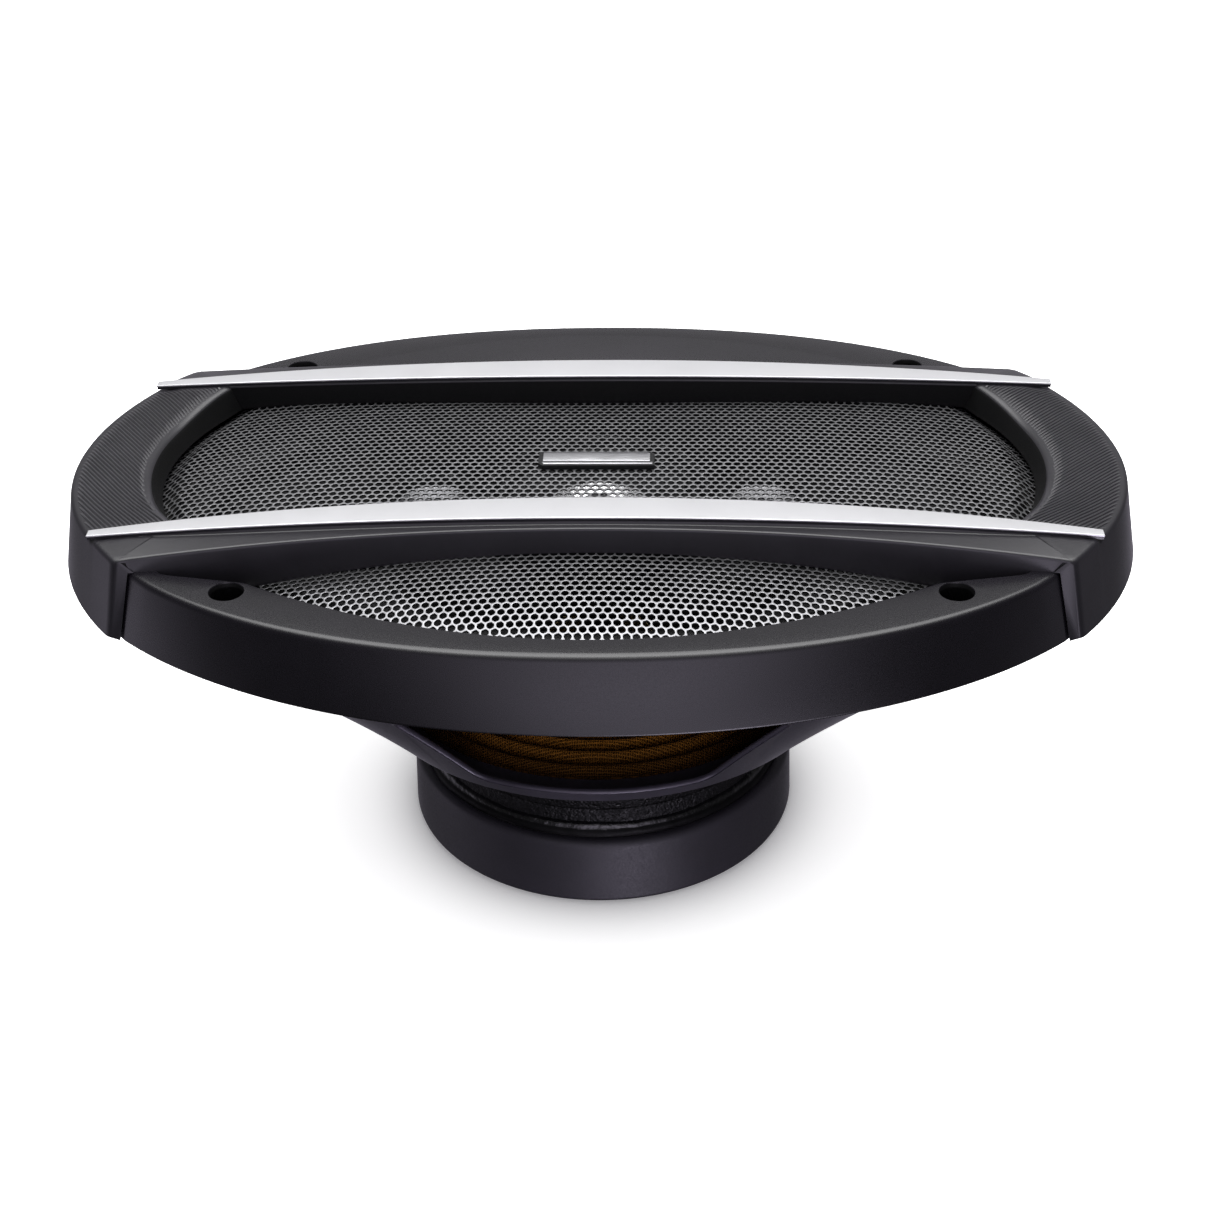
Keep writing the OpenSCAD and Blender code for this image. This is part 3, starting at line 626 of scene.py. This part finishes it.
def surround_outline():
    """Section of the surround: distance out from the cone's mouth, and height above its flange."""
    middle, rise = 6, np.linspace(0.15, math.pi - 0.15, 17)
    fall = np.linspace(math.pi - 0.1, 0.1, 17)
    outline = [[17, 0], [17, 0.5], [12, 0.5]]
    outline += [[middle + 5.8 * math.cos(u), 0.5 + 5 * math.sin(u)] for u in rise]
    outline += [[-1.2, 1.25], [-1.2, 0.97], [0.3, 0.97], [0.6, 0]]   # lip glued over the cone's edge
    outline += [[middle + 5.1 * math.cos(u), 4.4 * math.sin(u)] for u in fall]
    return outline + [[11.2, 0]]


def make_surround():
    t = np.arange(240) * TURN / 240
    columns = [[(CONE_A + out) * np.cos(t), (CONE_B + out) * np.sin(t), SHELF_Z + 0.05 + z + 0 * t]
               for out, z in surround_outline()]

    def weight(p):
        t = np.arctan2(p[:, 1] / (CONE_B + 6), p[:, 0] / (CONE_A + 6))
        out = np.hypot(p[:, 0], p[:, 1]) - np.hypot(CONE_A * np.cos(t), CONE_B * np.sin(t))
        return 1 - out / 12
    soft_piece("roll_surround", [skin(np.moveaxis(np.array(columns), 2, 0))], ROLL_RUBBER,
               "cone_surround", weight)


def spider_wave(r):
    """Height of the spider's rolls above its seat. The outermost one is lower."""
    wave = 1.1 - 1.1 * np.cos((SPIDER_GLUE_R - r) * TURN / SPIDER_PITCH)
    wave = np.where(r > SPIDER_GLUE_R, 0.7 * wave, wave)
    return np.where((r > SPIDER_GLUE_R + SPIDER_PITCH) | (r < SPIDER_IN + 3), 0, wave)


def make_spider():
    radii = np.linspace(SPIDER_IN, SPIDER_OUT, 150)
    heights = SEAT_Z + 0.05 + spider_wave(radii)
    outline = [[r, z] for r, z in zip(radii, heights)]
    outline += [[r, z + 0.5] for r, z in zip(radii[::-1], heights[::-1])]

    def weight(p):
        return 1 - (np.hypot(p[:, 0], p[:, 1]) - SPIDER_IN) / (SPIDER_GLUE_R - SPIDER_IN)
    soft_piece("corrugated_spider", [lathe(outline, 0, 240)], SPIDER_CLOTH, "spider",
               weight)


def cone_profile(t):
    """The cone's flared side with a few ribs, and the same side again one thickness higher."""
    neck_r, neck_z, mouth_z, thickness = 13.1, 44.5, 79.1, 0.7
    side = []
    for k in np.linspace(0, 1, 22):
        r = mix(neck_r, oval_r(CONE_A, CONE_B, t), k ** 1.12)
        rib = 0.22 * math.sin(k * 9 * TURN) ** 2 if 0.35 < k < 0.9 else 0
        side.append([r, mix(neck_z, mouth_z, k) + rib])
    return side + [[r, z + thickness] for r, z in side[::-1]]


def make_cone():
    piece("paper_cone", [skin(around(cone_profile, 240))], PAPER, ["woofer_cone"],
          body="cone_assembly")


LEAD_ROUTE = [[65.4, 54.8], [61, 54.8], [57, 53.2], [53, 50.8], [47, 48.6], [41, 47.6], [35, 47.6],
              [29, 48.6], [24, 50.4], [21, 51.7]]
LEAD_X = 8  # the leads' distance from the middle at the terminals


def curve_point(points, u):
    """A point on the smooth curve through a row of points."""
    i = min(int(u), len(points) - 2)
    k = u - i
    p0, p1, p2, p3 = (np.array(points[min(max(j, 0), len(points) - 1)]) for j in range(i - 1, i + 3))
    return 0.5 * (2 * p1 + (p2 - p0) * k + (2 * p0 - 5 * p1 + 4 * p2 - p3) * k ** 2
                  + (3 * p1 - p0 - 3 * p2 + p3) * k ** 3)


def make_leads():
    wires = []
    count = len(LEAD_ROUTE) - 1
    for side in (-1, 1):
        route = [[side * LEAD_X * mix(1, 0.75, i / count), y, z] for i, (y, z) in enumerate(LEAD_ROUTE)]
        path = [curve_point(route, u) for u in np.linspace(0, count, 90)]
        wires.append(tube(path, 0.62, 12))

    def weight(p):
        fixed_y, moving_y = 57, 24
        return (fixed_y - p[:, 1]) / (fixed_y - moving_y)
    soft_piece("lead_wires", wires, BRAID, "tinsel_leads", weight)


# --- small drivers ---
def make_small_drivers():
    trim = [[24.8, MID_Z], [28, MID_Z], [28, 87], [26.6, 89], [25.6, 88], [24.8, 86.2]]
    piece("middle_trim", [lathe(trim, [0, 0.2, 1.2, 0.8, 0.5, 0.6])], BRIDGE,
          ["midrange_trim_ring"])
    roll = [[21.8, 86], [22.6, 87.1], [23.9, 87.1], [24.75, 86], [24.75, 85.6], [23.7, 86.6],
            [22.8, 86.6], [21.8, 85.6]]

    def weight(p):
        fixed_r, moving_r = 24.5, 21.8
        return (fixed_r - np.hypot(p[:, 0], p[:, 1])) / (fixed_r - moving_r)
    soft_piece("middle_roll", [lathe(roll, [0, 0.6, 0.6, 0, 0, 0.5, 0.5, 0])], ROLL_RUBBER,
               "midrange_surround", weight)
    cone = [[7.35, 81], [14, 82.6], [21.5, 85.6], [21.5, 86.1], [14, 83.1], [7.35, 81.5]]
    bright = [[8.2, 81.4], [12.6, 82.5], [12.6, 83.1], [8.2, 81.9]]
    piece("middle_cone", [lathe(cone, [0, 5, 0, 0, 5, 0]), lathe(bright, 0.15, 192, kind=1)],
          [PAPER, SILVER_FILM], ["midrange_cone"], body="midrange_diaphragm")
    dome = [[0, 85.2], [2.5, 85], [5, 84.1], [7.3, 82.05], [6.6, 82.05], [4.7, 83.6], [2.3, 84.5],
            [0, 84.7]]
    piece("middle_dome", [lathe(dome, [0, 1, 1, 0, 0, 1, 1, 0])], SILVER_FILM,
          ["midrange_dust_cap"], body="midrange_diaphragm")
    housing = [[0, 0], [11.5, 0], [11.5, 5.5], [10.5, 7], [9.4, 7], [8.6, 5], [8.6, 1.2], [0, 1.2]]
    housing_radii = [0, 0.4, 0.8, 0.5, 0.4, 0.4, 0.3, 0]
    film = [[0, 1.25], [8.55, 1.25], [8.55, 4.6], [4.2, 2.6], [2.4, 4], [0, 4.6]]
    film_radii = [0, 0.2, 0.2, 0.8, 0.8, 0]
    for side, name in ((-1, "left"), (1, "right")):
        centre = (side * TWEETER_X, 0, MID_Z)
        piece(name + "_capsule", [lathe(housing, housing_radii, 128, centre)], BRIDGE,
              [name + "_tweeter_housing"])
        piece(name + "_film", [lathe(film, film_radii, 128, centre)], PIEZO_FILM,
              [name + "_tweeter_diaphragm"])


# --- grille ring ---
def ring_profile(t):
    """Section of the ring: outside wall, rim, ledge for the sheets, and the hollow below."""
    inner = rim_edge_r(t)
    ledge = mesh_rim_z(inner * np.cos(t)) - MESH_T - 0.1
    shelf = oval_r(110, 72, t)
    under = np.minimum(RIM_Z - RING_T, ledge + 0.6)
    step_z = SHELF_Z + RING_T
    return [[ring_r(t, FACE_Z), FACE_Z], [ring_r(t, RIM_Z), RIM_Z], [inner, RIM_Z], [inner, ledge],
            [inner - 3, ledge], [inner - 3, ledge - 1.2], [inner + 2, under - 0.6],
            [ring_r(t, RIM_Z) - RING_T, RIM_Z - RING_T], [ring_r(t, step_z) - RING_T, step_z],
            [shelf, step_z], [shelf, SHELF_Z], [ring_r(t, SHELF_Z) - RING_T, SHELF_Z],
            [ring_r(t, FACE_Z) - RING_T, FACE_Z]]


RING_RADII = [0.6, 1.5, 0.4, 0, 0.2, 0.2, 0, 0, 0, 0.2, 0.2, 0, 0.2]


def make_ring():
    ring = new_object("outer_ring", [skin(soften(around(ring_profile, 480), RING_RADII))])
    wide = POCKET_R + 0.15         # the pocket's edge on the rim is broken
    pocket = [[0, 74], [POCKET_R, 74], [POCKET_R, RIM_Z - 0.2], [wide, RIM_Z], [wide, 99], [0, 99]]
    boss = [[SCREW_R, SHELF_Z + 1], [5, SHELF_Z + 1], [5, RIM_Z - 1.2], [POCKET_R, RIM_Z - 1.2],
            [POCKET_R, SHELF_Z + 5], [SCREW_R, SHELF_Z + 5]]
    for corner in SCREW_CORNERS:
        cut(ring, [lathe(pocket, 0, 64, corner)])
    merge(ring, [lathe(boss, 0, 64, corner) for corner in SCREW_CORNERS])

    def in_pocket(normal, x, y, z):
        return math.hypot(abs(x) - SCREW_X, abs(y) - SCREW_Y) < POCKET_R + 0.06 and z < RIM_Z - 0.15
    # Painted shade: the screw pockets take the near-black material.
    zone(ring, 1, in_pocket)
    settle(ring, [GRILLE_PLASTIC, PAINTED_SHADE], "frame", ["grille_ring"])


# --- bezel ---
INNER_X = 94.4  # inner corners of the bezel's opening
FOOT_INSET, RISER_INSET = 0.969, 0.96  # how far the bars' corners stand in from their slope's
BAR_T = 2.2  # thickness of a crossbar's walls
PANEL_FALL = 0.4  # share of an end panel over which its top falls to its edge
TOP_SHARES = (0.15, PANEL_FALL, 0.6, 0.8)  # where the top's points lie between edge and opening
PILLAR_ROUND = 1.0  # rounding of the end wall's upright corners


def bar_section(x):
    """One section of a crossbar: twelve corners, from the outer foot over the top to the inner one."""
    xi, xo, xr = x * INNER_X / CORNER_X, x * FOOT_INSET, x * RISER_INSET
    y, yi, top, mesh_z = slope_y(x), strip_in(xi), seat_top(xi), mesh_mid_z(xi, strip_in(xi))
    fade = 1 - (x / CORNER_X) ** 6     # the riser runs out towards the corners
    riser_foot = np.array([xr, strip_out(xr) + 0.1 + 0.15 * fade, seat_top(xr) - 0.05 - RISER * fade])
    outer = np.array([xr, strip_out(xr) - 0.15 * fade, seat_top(xr)])
    inner = np.array([xi, yi, top])
    between = [mix(outer, inner, k) for k in (0.33, 0.67)]
    return np.array([
        [xo, y + 0.2, bar_foot(xo)], [x, y, slope_z(x)], riser_foot, outer, *between, inner,
        [xi, yi, mesh_z], [xi, yi + BAR_T, mesh_z], [xi, yi + BAR_T, top - BAR_T],
        [xo, y - BAR_T, slope_z(x) - BAR_T], [xo, y - BAR_T, bar_foot(xo)]])


def panel_edge_z(s):
    """Height of an end panel's outer edge at s from -1 to 1 along the end wall."""
    return PANEL_Z - 0.2 + 0.6 * s * s


def end_wall(s):
    """Corners of the end wall at s: foot, top edge, inner shoulder and inner foot."""
    return np.array([
        [oval_x(128.4, 95.3, 50.1 * s), 50.1 * s, FACE_Z],
        [oval_x(END_A, END_B, CORNER_Y * s), CORNER_Y * s, panel_edge_z(s)],
        [oval_x(122.05, 90.45, 48.8 * s), 48.8 * s, RIM_Z + 0.05],
        [oval_x(125.25, 96.35, 51.3 * s), 51.3 * s, FACE_Z]])


def top_height(x, y, share, edge_z):
    """Height of an end panel's top: the crossbar's slope beyond the strip, and the panel inside it."""
    out = strip_out(x)
    if abs(y) >= out:
        return mix(seat_top(x), slope_z(x), (abs(y) - out) / (slope_y(x) - out))
    return mix(edge_z, panel_top(x, y), min(1, share / PANEL_FALL))


def round_off(s):
    """How far the wall's outer face is drawn in near its upright corners."""
    reach = PILLAR_ROUND / CORNER_Y
    q = min(1, max(0, (abs(s) - 1 + reach) / reach))
    return PILLAR_ROUND * (1 - math.sqrt(1 - q * q))


def end_section(s):
    """One section of an end panel, with the same twelve corners as a crossbar's."""
    foot, edge, shoulder, inner_foot = end_wall(s)
    edge[2] = top_height(edge[0], edge[1], 0, edge[2])
    foot[0] -= round_off(s)
    edge[0] -= round_off(s)
    yi = strip_in(INNER_X) * s
    xi = open_x(yi)
    rim = np.array([xi, yi, panel_top(xi, yi)])
    top = []
    for share in TOP_SHARES:
        point = mix(edge, rim, share)
        point[2] = top_height(point[0], point[1], share, edge[2])
        top.append(point)
    mesh_z = mesh_mid_z(xi - 2.5, yi)
    return np.array([foot, edge, *top, rim, [xi - 2.5, yi * 0.99, mesh_z], [xi - 0.3, yi, mesh_z],
                     [xi + 1, yi, rim[2] - BAR_T], shoulder, inner_foot])


def corner_section(s, with_wall):
    """Where an end panel meets a crossbar the top follows the bar."""
    foot, _, shoulder, inner_foot = end_wall(s)
    bar = bar_section(CORNER_X)[1:10] * [1, s, 1]
    foot[0] -= PILLAR_ROUND
    bar[0, 0] -= PILLAR_ROUND
    ends = (foot, inner_foot) if with_wall else (shoulder, shoulder)
    return np.array([ends[0], *bar, shoulder, ends[1]])


END_RADII = [0.4, 1.1, 0, 0, 0, 0, 1.5, 0, 0, 0, 0, 0]
BAR_RADII = [0, 0.8, 0.6, 0, 0, 0, 0.5, 0, 0, 0, 0, 0]


def end_stations(steps):
    """Places along an end wall, closer together at its rounded corners."""
    even = np.linspace(-1, 1, steps + 1)[2:-2]
    near = 1 - PILLAR_ROUND / CORNER_Y * np.array([0.02, 0.06, 0.15, 0.3, 0.5, 0.75, 1])
    return sorted([*even, *near, *-near])


def bezel_loop(end_steps=120, bar_steps=160):
    """The sections of the whole bezel and their corners' radii: each end panel, then a crossbar."""
    corners = [corner_section(s, wall) for s, wall in ((-1, False), (-1, True), (1, True), (1, False))]
    ends = [end_section(s) for s in end_stations(end_steps)]
    bars = [bar_section(x) for x in np.linspace(CORNER_X, -CORNER_X, bar_steps + 1)[1:-1]]
    half = np.array(corners[:2] + ends + corners[2:] + bars)
    radii = [BAR_RADII] * 2 + [END_RADII] * len(ends) + [BAR_RADII] * (2 + len(bars))
    return np.concatenate([half, half * [-1, -1, 1]]), np.array(radii * 2)


def strip_shell(side, low, high, trim, radii, steps=150):
    """A band under or along a trim strip, between two depths below the strip's top."""
    sections = []
    for x in np.linspace(-STRIP_A + trim, STRIP_A - trim, steps + 1):
        inner, outer, z = strip_in(x) + trim, strip_out(x) - trim, strip_z(x)
        sections.append([[x, side * inner, z - low], [x, side * inner, z - high],
                         [x, side * outer, z - high], [x, side * outer, z - low]])
    return skin(soften(sections, radii) if np.any(radii) else sections, closed=False)


RIB_PITCH = {1: 0.945, -1: 0.91}  # right and left
RIB_ANGLE = {1: math.radians(-45), -1: math.radians(36)}
RIB_OUTLINE = [(-0.34, -0.3), (-0.25, 0.2), (0, 0.34), (0.25, 0.2), (0.34, -0.3)]


def inside_panel(x, y):
    """Whether a point of an end panel lies in its ribbed field."""
    beyond_opening = abs(x) > open_x(y) + 1.3
    return beyond_opening and abs(x) < oval_x(END_A, END_B, y) - 1.5 and abs(y) < strip_in(x) - 0.25


def rib_ground(x, y):
    """Height of an end panel's top, which falls away towards its outer edge."""
    wall_x = oval_x(END_A, END_B, y)
    share = (wall_x - x) / max(wall_x - open_x(y), 1)
    return mix(panel_edge_z(y / CORNER_Y), panel_top(x, y), min(1, max(0, share) / PANEL_FALL))


def panel_ribs(side):
    """Fine slanting ribs on an end panel."""
    ribs = []
    angle, pitch = RIB_ANGLE[side], RIB_PITCH[side]
    across = np.array([math.cos(angle), math.sin(angle)])
    along = np.array([-math.sin(angle), math.cos(angle)])
    centre = np.array([side * 108, 0.0])
    for i in range(-48, 49):
        base = centre + across * i * pitch
        kept = [u for u in np.arange(-60, 60, 0.5) if inside_panel(*(base + along * u))]
        if len(kept) < 3:
            continue
        path = np.linspace(kept[0], kept[-1], max(3, int((kept[-1] - kept[0]) / 1.5)))
        sections = []
        for j, u in enumerate(path):
            x, y = base + along * u
            z = rib_ground(abs(x), y)
            lift = 0 if j in (0, len(path) - 1) else 1
            sections.append([[x + across[0] * w, y + across[1] * w, z + (h * lift if h > 0 else h)]
                             for w, h in RIB_OUTLINE])
        # Kind 2: the ribs' lighter plastic, a painted highlight.
        ribs.append(skin(sections, closed=False, kind=2))
    return ribs


def on_inner_wall(normal, x, y, z):
    """Whether a face of the bezel is on the inner walls round the middle sheet, which get painted
    shade.
    """
    upright = abs(normal.z) < 0.75
    near = abs(y) < strip_in(x) + 2.3 and abs(x) < open_x(y) + 1.2
    wall_top = panel_top(x, y) - 0.9 if abs(x) > INNER_X - 0.4 else seat_top(x) - 0.5
    return upright and near and z < wall_top


def make_bezel():
    parts = [skin(soften(*bezel_loop()))]
    for side in (-1, 1):
        parts.append(strip_shell(side, 1.15, 0.38, 0.12, 0))
        parts += panel_ribs(side)
    bezel = piece("bezel_shell", parts, [BAR_PLASTIC, PAINTED_SHADE, RIB_PAINTED_HIGHLIGHT], ["bezel"])
    # Painted shade: the inner walls round the middle sheet take the near-black material.
    zone(bezel, 1, on_inner_wall)
    for side, name in ((-1, "front"), (1, "rear")):
        piece(name + "_strip", [strip_shell(side, 0.4, 0, 0, [0.05, 0.32, 0.32, 0.05])], SILVER,
              [name + "_trim_strip"])


# --- perforated sheets ---
CELL = 2.08  # distance between holes
HOLE_R = 0.86
HOLE_DIP = 0.07  # how far a hole's edge is drawn in


def perforated(inside, height, reach_x, reach_y):
    """A sheet made of hexagonal cells, each with a round hole, wherever `inside` holds."""
    row_step = CELL * math.sqrt(3) / 2
    rows, cols = int(reach_y / row_step) + 2, int(reach_x / CELL) + 2
    grid = [(row, col) for row in range(-rows, rows + 1) for col in range(-cols, cols + 1)]
    row, col = np.array(grid).T
    centres = np.stack([(col + 0.5 * (row % 2)) * CELL, row * row_step], -1)
    kept = inside(centres[:, 0], centres[:, 1])
    cells = [cell for cell, keep in zip(grid, kept) if keep]
    here = set(cells)
    centres = centres[kept]
    corner_turn = np.radians(30 + 60 * np.arange(6))
    hole_turn = np.radians(30 * np.arange(1, 13))
    web_r = CELL / math.sqrt(3)
    # Each cell's points: 6 corners and 12 round the hole on top, then 6 and 6 below.
    rings = [(corner_turn, web_r, 0.0), (hole_turn, HOLE_R, HOLE_DIP),
             (corner_turn, HOLE_R * 0.98, SHEET_T), (corner_turn, web_r, SHEET_T)]
    points = []
    for turn, r, drop in rings:
        x = centres[:, :1] + r * np.cos(turn)
        y = centres[:, 1:] + r * np.sin(turn)
        points.append(np.stack([x, y, height(x, y) - drop], -1))
    points = np.concatenate(points, axis=1)
    pattern, sides = [], []
    for k in range(6):
        n = (k + 1) % 6
        h0, h1, h2 = (6 + (2 * k + step) % 12 for step in (0, 1, 2))
        low0, low1 = 18 + k, 18 + n
        pattern += [[k, n, h2, h1, h0], [h0, h1, low0], [h1, h2, low1, low0]]
        pattern.append([24 + n, 24 + k, low0, low1])
        sides.append([k, 24 + k, 24 + n, n])
    faces = []
    for c, (row, col) in enumerate(cells):
        first = c * points.shape[1]
        faces += [[first + i for i in face] for face in pattern]
        odd = row % 2
        beside = [(row + 1, col + odd), (row + 1, col - 1 + odd), (row, col - 1),
                  (row - 1, col - 1 + odd), (row - 1, col + odd), (row, col + 1)]
        faces += [[first + i for i in side] for side, other in zip(sides, beside) if other not in here]
    return points.reshape(-1, 3), faces, 0


def make_meshes():
    def in_centre(x, y):
        return (np.abs(y) < strip_in(x) + 1.25) & (np.abs(x) < open_x(y) - 1)

    def in_front(x, y):
        return (-y > slope_y(x) - 0.9) & (-y < rim_edge_y(x) - 0.9) & (np.abs(x) < TIP_X + 1)

    def centre_z(x, y):
        """The middle sheet rolls down where it meets the end panels."""
        return mesh_mid_z(x, y) - 0.05 - 1.5 * ease((np.abs(x) - open_x(y) + 7) / 5)

    def front_z(x, y):
        return crescent_z(x, -y)

    sheets = [("centre_mesh", "centre_grille", perforated(in_centre, centre_z, 108, 40)),
              ("front_mesh", "front_grille", perforated(in_front, front_z, 78, 78))]
    for name, node, shell in sheets:
        sheet = piece(name, [shell], [MESH_STEEL, PAINTED_SHADE], [node], sharp_angle=50)
        # Painted shade: the hole walls and undersides take the near-black material.
        zone(sheet, 1, lambda normal, x, y, z: normal.z < 0.6)


def make_rear_panel():
    sections = []
    for x in np.linspace(-96, 96, 161):
        near, far = slope_y(x) - 1.2, rim_edge_y(x) + 0.45
        y = np.linspace(near, far, 15)
        k = (y - near) / (far - near)
        z = RIM_Z + 0.03 + np.maximum(0, mesh_bar_z(x) - RIM_Z) * (1 - k) ** 2
        top = np.stack([x + 0 * y, y, z], -1)
        sections.append(np.concatenate([top, top[::-1] - [0, 0, MESH_T]]))
    piece("rear_crescent", [skin(sections, closed=False)], GRILLE_PLASTIC,
          ["rear_panel"])


# --- badge ---
def prism(outline, z0, z1, bevel, kind=0):
    """A plate with a round upper edge."""
    outline = np.array(outline, float)
    levels = [(0, z0), (0, z1 - bevel), (bevel * 0.3, z1 - bevel * 0.3), (bevel, z1)]
    middle = outline.mean(0)
    span = np.abs(outline - middle).max(0)
    rings = []
    for inset, z in levels:
        flat = middle + (outline - middle) * (1 - inset / span)
        rings.append(np.c_[flat, np.full(len(flat), z)])
    return skin(np.array(rings), closed=False, kind=kind)


def make_badge():
    """A plain plate on two pins, with a bright field and a bright bar."""
    base = RIM_Z + 3.3
    middle = np.array([0, -3])
    plate = [[-13.8, -2.5], [-12.8, -3.5], [13.8, -3.5], [13.8, 2.5], [12.8, 3.5], [-13.8, 3.5]]
    field = [[-12.7, -1.6], [12.7, -1.6], [12.7, 2.2], [12.2, 2.7], [-12.7, 2.7]]
    bar = [[-12.5, -3.1], [13.3, -3.1], [13.3, -2.2], [-12.9, -2.2]]
    parts = [prism(plate + middle, base, base + 1.1, 0.25),
             prism(field + middle, base + 0.9, base + 1.25, 0.1, kind=1),
             prism(bar + middle, base + 0.9, base + 1.28, 0.12, kind=1)]
    pin = [[0, base - 2], [0.7, base - 2], [0.7, base + 0.5], [0, base + 0.5]]
    parts += [lathe(pin, 0, 24, (x, middle[1], 0)) for x in (-10, 10)]
    piece("badge", parts, [BRIDGE, BADGE_SILVER], ["badge_plate"])


# --- CAD nodes that keep their shape ---
CAD_FINISHES = {
    "yoke": PLATED, "post_screw": PLATED, "centre_post": BLACK_STEEL, "midrange_motor": BLACK_STEEL,
    "voice_coil_former": FILM, "midrange_former": FILM, "voice_coil": COPPER,
    "tweeter_bridge": BRIDGE, "terminal_bracket": BASKET_PAINT, "terminal_board": BOARD,
    "positive_terminal": TINNED, "negative_terminal": TINNED, "terminal_rivets": RIVET,
    "crossover_capacitor": SLEEVE,
}


def finish_cad_nodes():
    for node, material in CAD_FINISHES.items():
        for material_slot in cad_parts[node].material_slots:
            material_slot.material = material


# --- camera, floor and light ---
WHITE, VIOLET = (1, 1, 1, 1), (0.94, 0.87, 1.06, 1)
GLOWS = [  # direction, tightness, strength and colour
    ((0.0, -0.1, 1.0), 10, 3.4, WHITE), ((0.0, 0.85, 0.53), 4, 0.4, WHITE),
    ((0.08, -0.98, 0.2), 14, 2.0, VIOLET), ((0.25, -0.85, -0.48), 40, 10.0, VIOLET),
    ((0.0, 0.92, -0.4), 10, 1.3, VIOLET), ((0.95, 0.1, -0.3), 14, 0.2, VIOLET),
    ((-0.95, 0.1, -0.3), 14, 0.7, VIOLET),
]


def make_camera():
    azimuth, elevation, roll = math.radians(2.02), math.radians(31.99), math.radians(1.05)
    target, distance = Vector((1.72, 0, 54.5)) * MM, 524.3 * MM
    back = Vector((math.sin(azimuth) * math.cos(elevation), -math.cos(azimuth) * math.cos(elevation),
                   math.sin(elevation)))
    right = Vector((math.cos(azimuth), math.sin(azimuth), 0))
    up = back.cross(right)
    x_axis = right * math.cos(roll) - up * math.sin(roll)
    y_axis = right * math.sin(roll) + up * math.cos(roll)
    data = bpy.data.cameras.new("camera")
    data.sensor_width = 36
    data.lens = 62.25
    camera = bpy.data.objects.new("camera", data)
    camera.matrix_world = Matrix((x_axis, y_axis, back)).transposed().to_4x4()
    camera.location = target + back * distance
    bpy.context.collection.objects.link(camera)
    bpy.context.scene.camera = camera


def make_floor():
    """A white floor that glows, and less so in the shade close to the object."""
    mesh = bpy.data.meshes.new("floor")
    half = 6.0
    corners = [(x * half, y * half, 0) for x, y in ((-1, -1), (1, -1), (1, 1), (-1, 1))]
    mesh.from_pydata(corners, [], [(0, 1, 2, 3)])
    floor = bpy.data.objects.new("floor", mesh)
    floor.location.z = -0.0002
    bpy.context.collection.objects.link(floor)
    material, tree, shader, _ = new_material("floor_white")
    shade = add(tree, "AmbientOcclusion", {"Distance": 0.027}, samples=8).outputs["AO"]
    feed(tree, shader, {
        "Base Color": (0.9, 0.9, 0.9, 1), "Roughness": 1, "Specular IOR Level": 0,
        "Emission Color": WHITE, "Emission Strength": spread(tree, shade, 0.22, 0.9, 0.5, 0.95)})
    mesh.materials.append(material)
    floor.visible_glossy = False
    floor.visible_diffuse = False


def make_light():
    """A large soft light overhead, a little towards the back."""
    place, target = Vector((0, 0.25, 1.3)), Vector((0, 0, 0.05))
    data = bpy.data.lights.new("overhead", "AREA")
    data.shape = "RECTANGLE"
    data.size, data.size_y = 1.6, 1.2
    data.energy = 26
    light = bpy.data.objects.new("overhead", data)
    light.location = place
    light.rotation_euler = (target - place).to_track_quat("-Z", "Y").to_euler()
    bpy.context.collection.objects.link(light)


def make_world():
    """A soft studio: glows overhead, at the front, the back and both ends. The camera sees white."""
    world = bpy.data.worlds.new("studio")
    bpy.context.scene.world = world
    world.use_nodes = True
    tree = world.node_tree
    place = add(tree, "TexCoord", {}).outputs["Generated"]
    total = tree.nodes["Background"]
    feed(tree, total, {"Color": WHITE, "Strength": 0.05})
    for direction, tightness, strength, colour in GLOWS:
        axis = Vector(direction).normalized()
        facing = add(tree, "VectorMath", {0: place, 1: axis}, operation="DOT_PRODUCT").outputs["Value"]
        front = add(tree, "Math", {0: facing, 1: 0}, operation="MAXIMUM").outputs[0]
        lobe = add(tree, "Math", {0: front, 1: tightness}, operation="POWER").outputs[0]
        level = add(tree, "Math", {0: lobe, 1: strength}, operation="MULTIPLY").outputs[0]
        glow = add(tree, "Background", {"Color": colour, "Strength": level})
        total = add(tree, "AddShader", {0: total.outputs[0], 1: glow.outputs[0]})
    plain = add(tree, "Background", {"Color": WHITE})
    seen = add(tree, "LightPath", {}).outputs["Is Camera Ray"]
    shown = add(tree, "MixShader", {0: seen, 1: total.outputs[0], 2: plain.outputs[0]}).outputs[0]
    feed(tree, tree.nodes["World Output"], {"Surface": shown})


make_camera()
make_floor()
make_world()
make_light()
bpy.context.scene.view_settings.view_transform = "Standard"

make_motor()
make_basket()
make_gasket()
make_surround()
make_spider()
make_cone()
make_leads()
make_small_drivers()
make_ring()
make_bezel()
make_meshes()
make_rear_panel()
make_badge()
finish_cad_nodes()
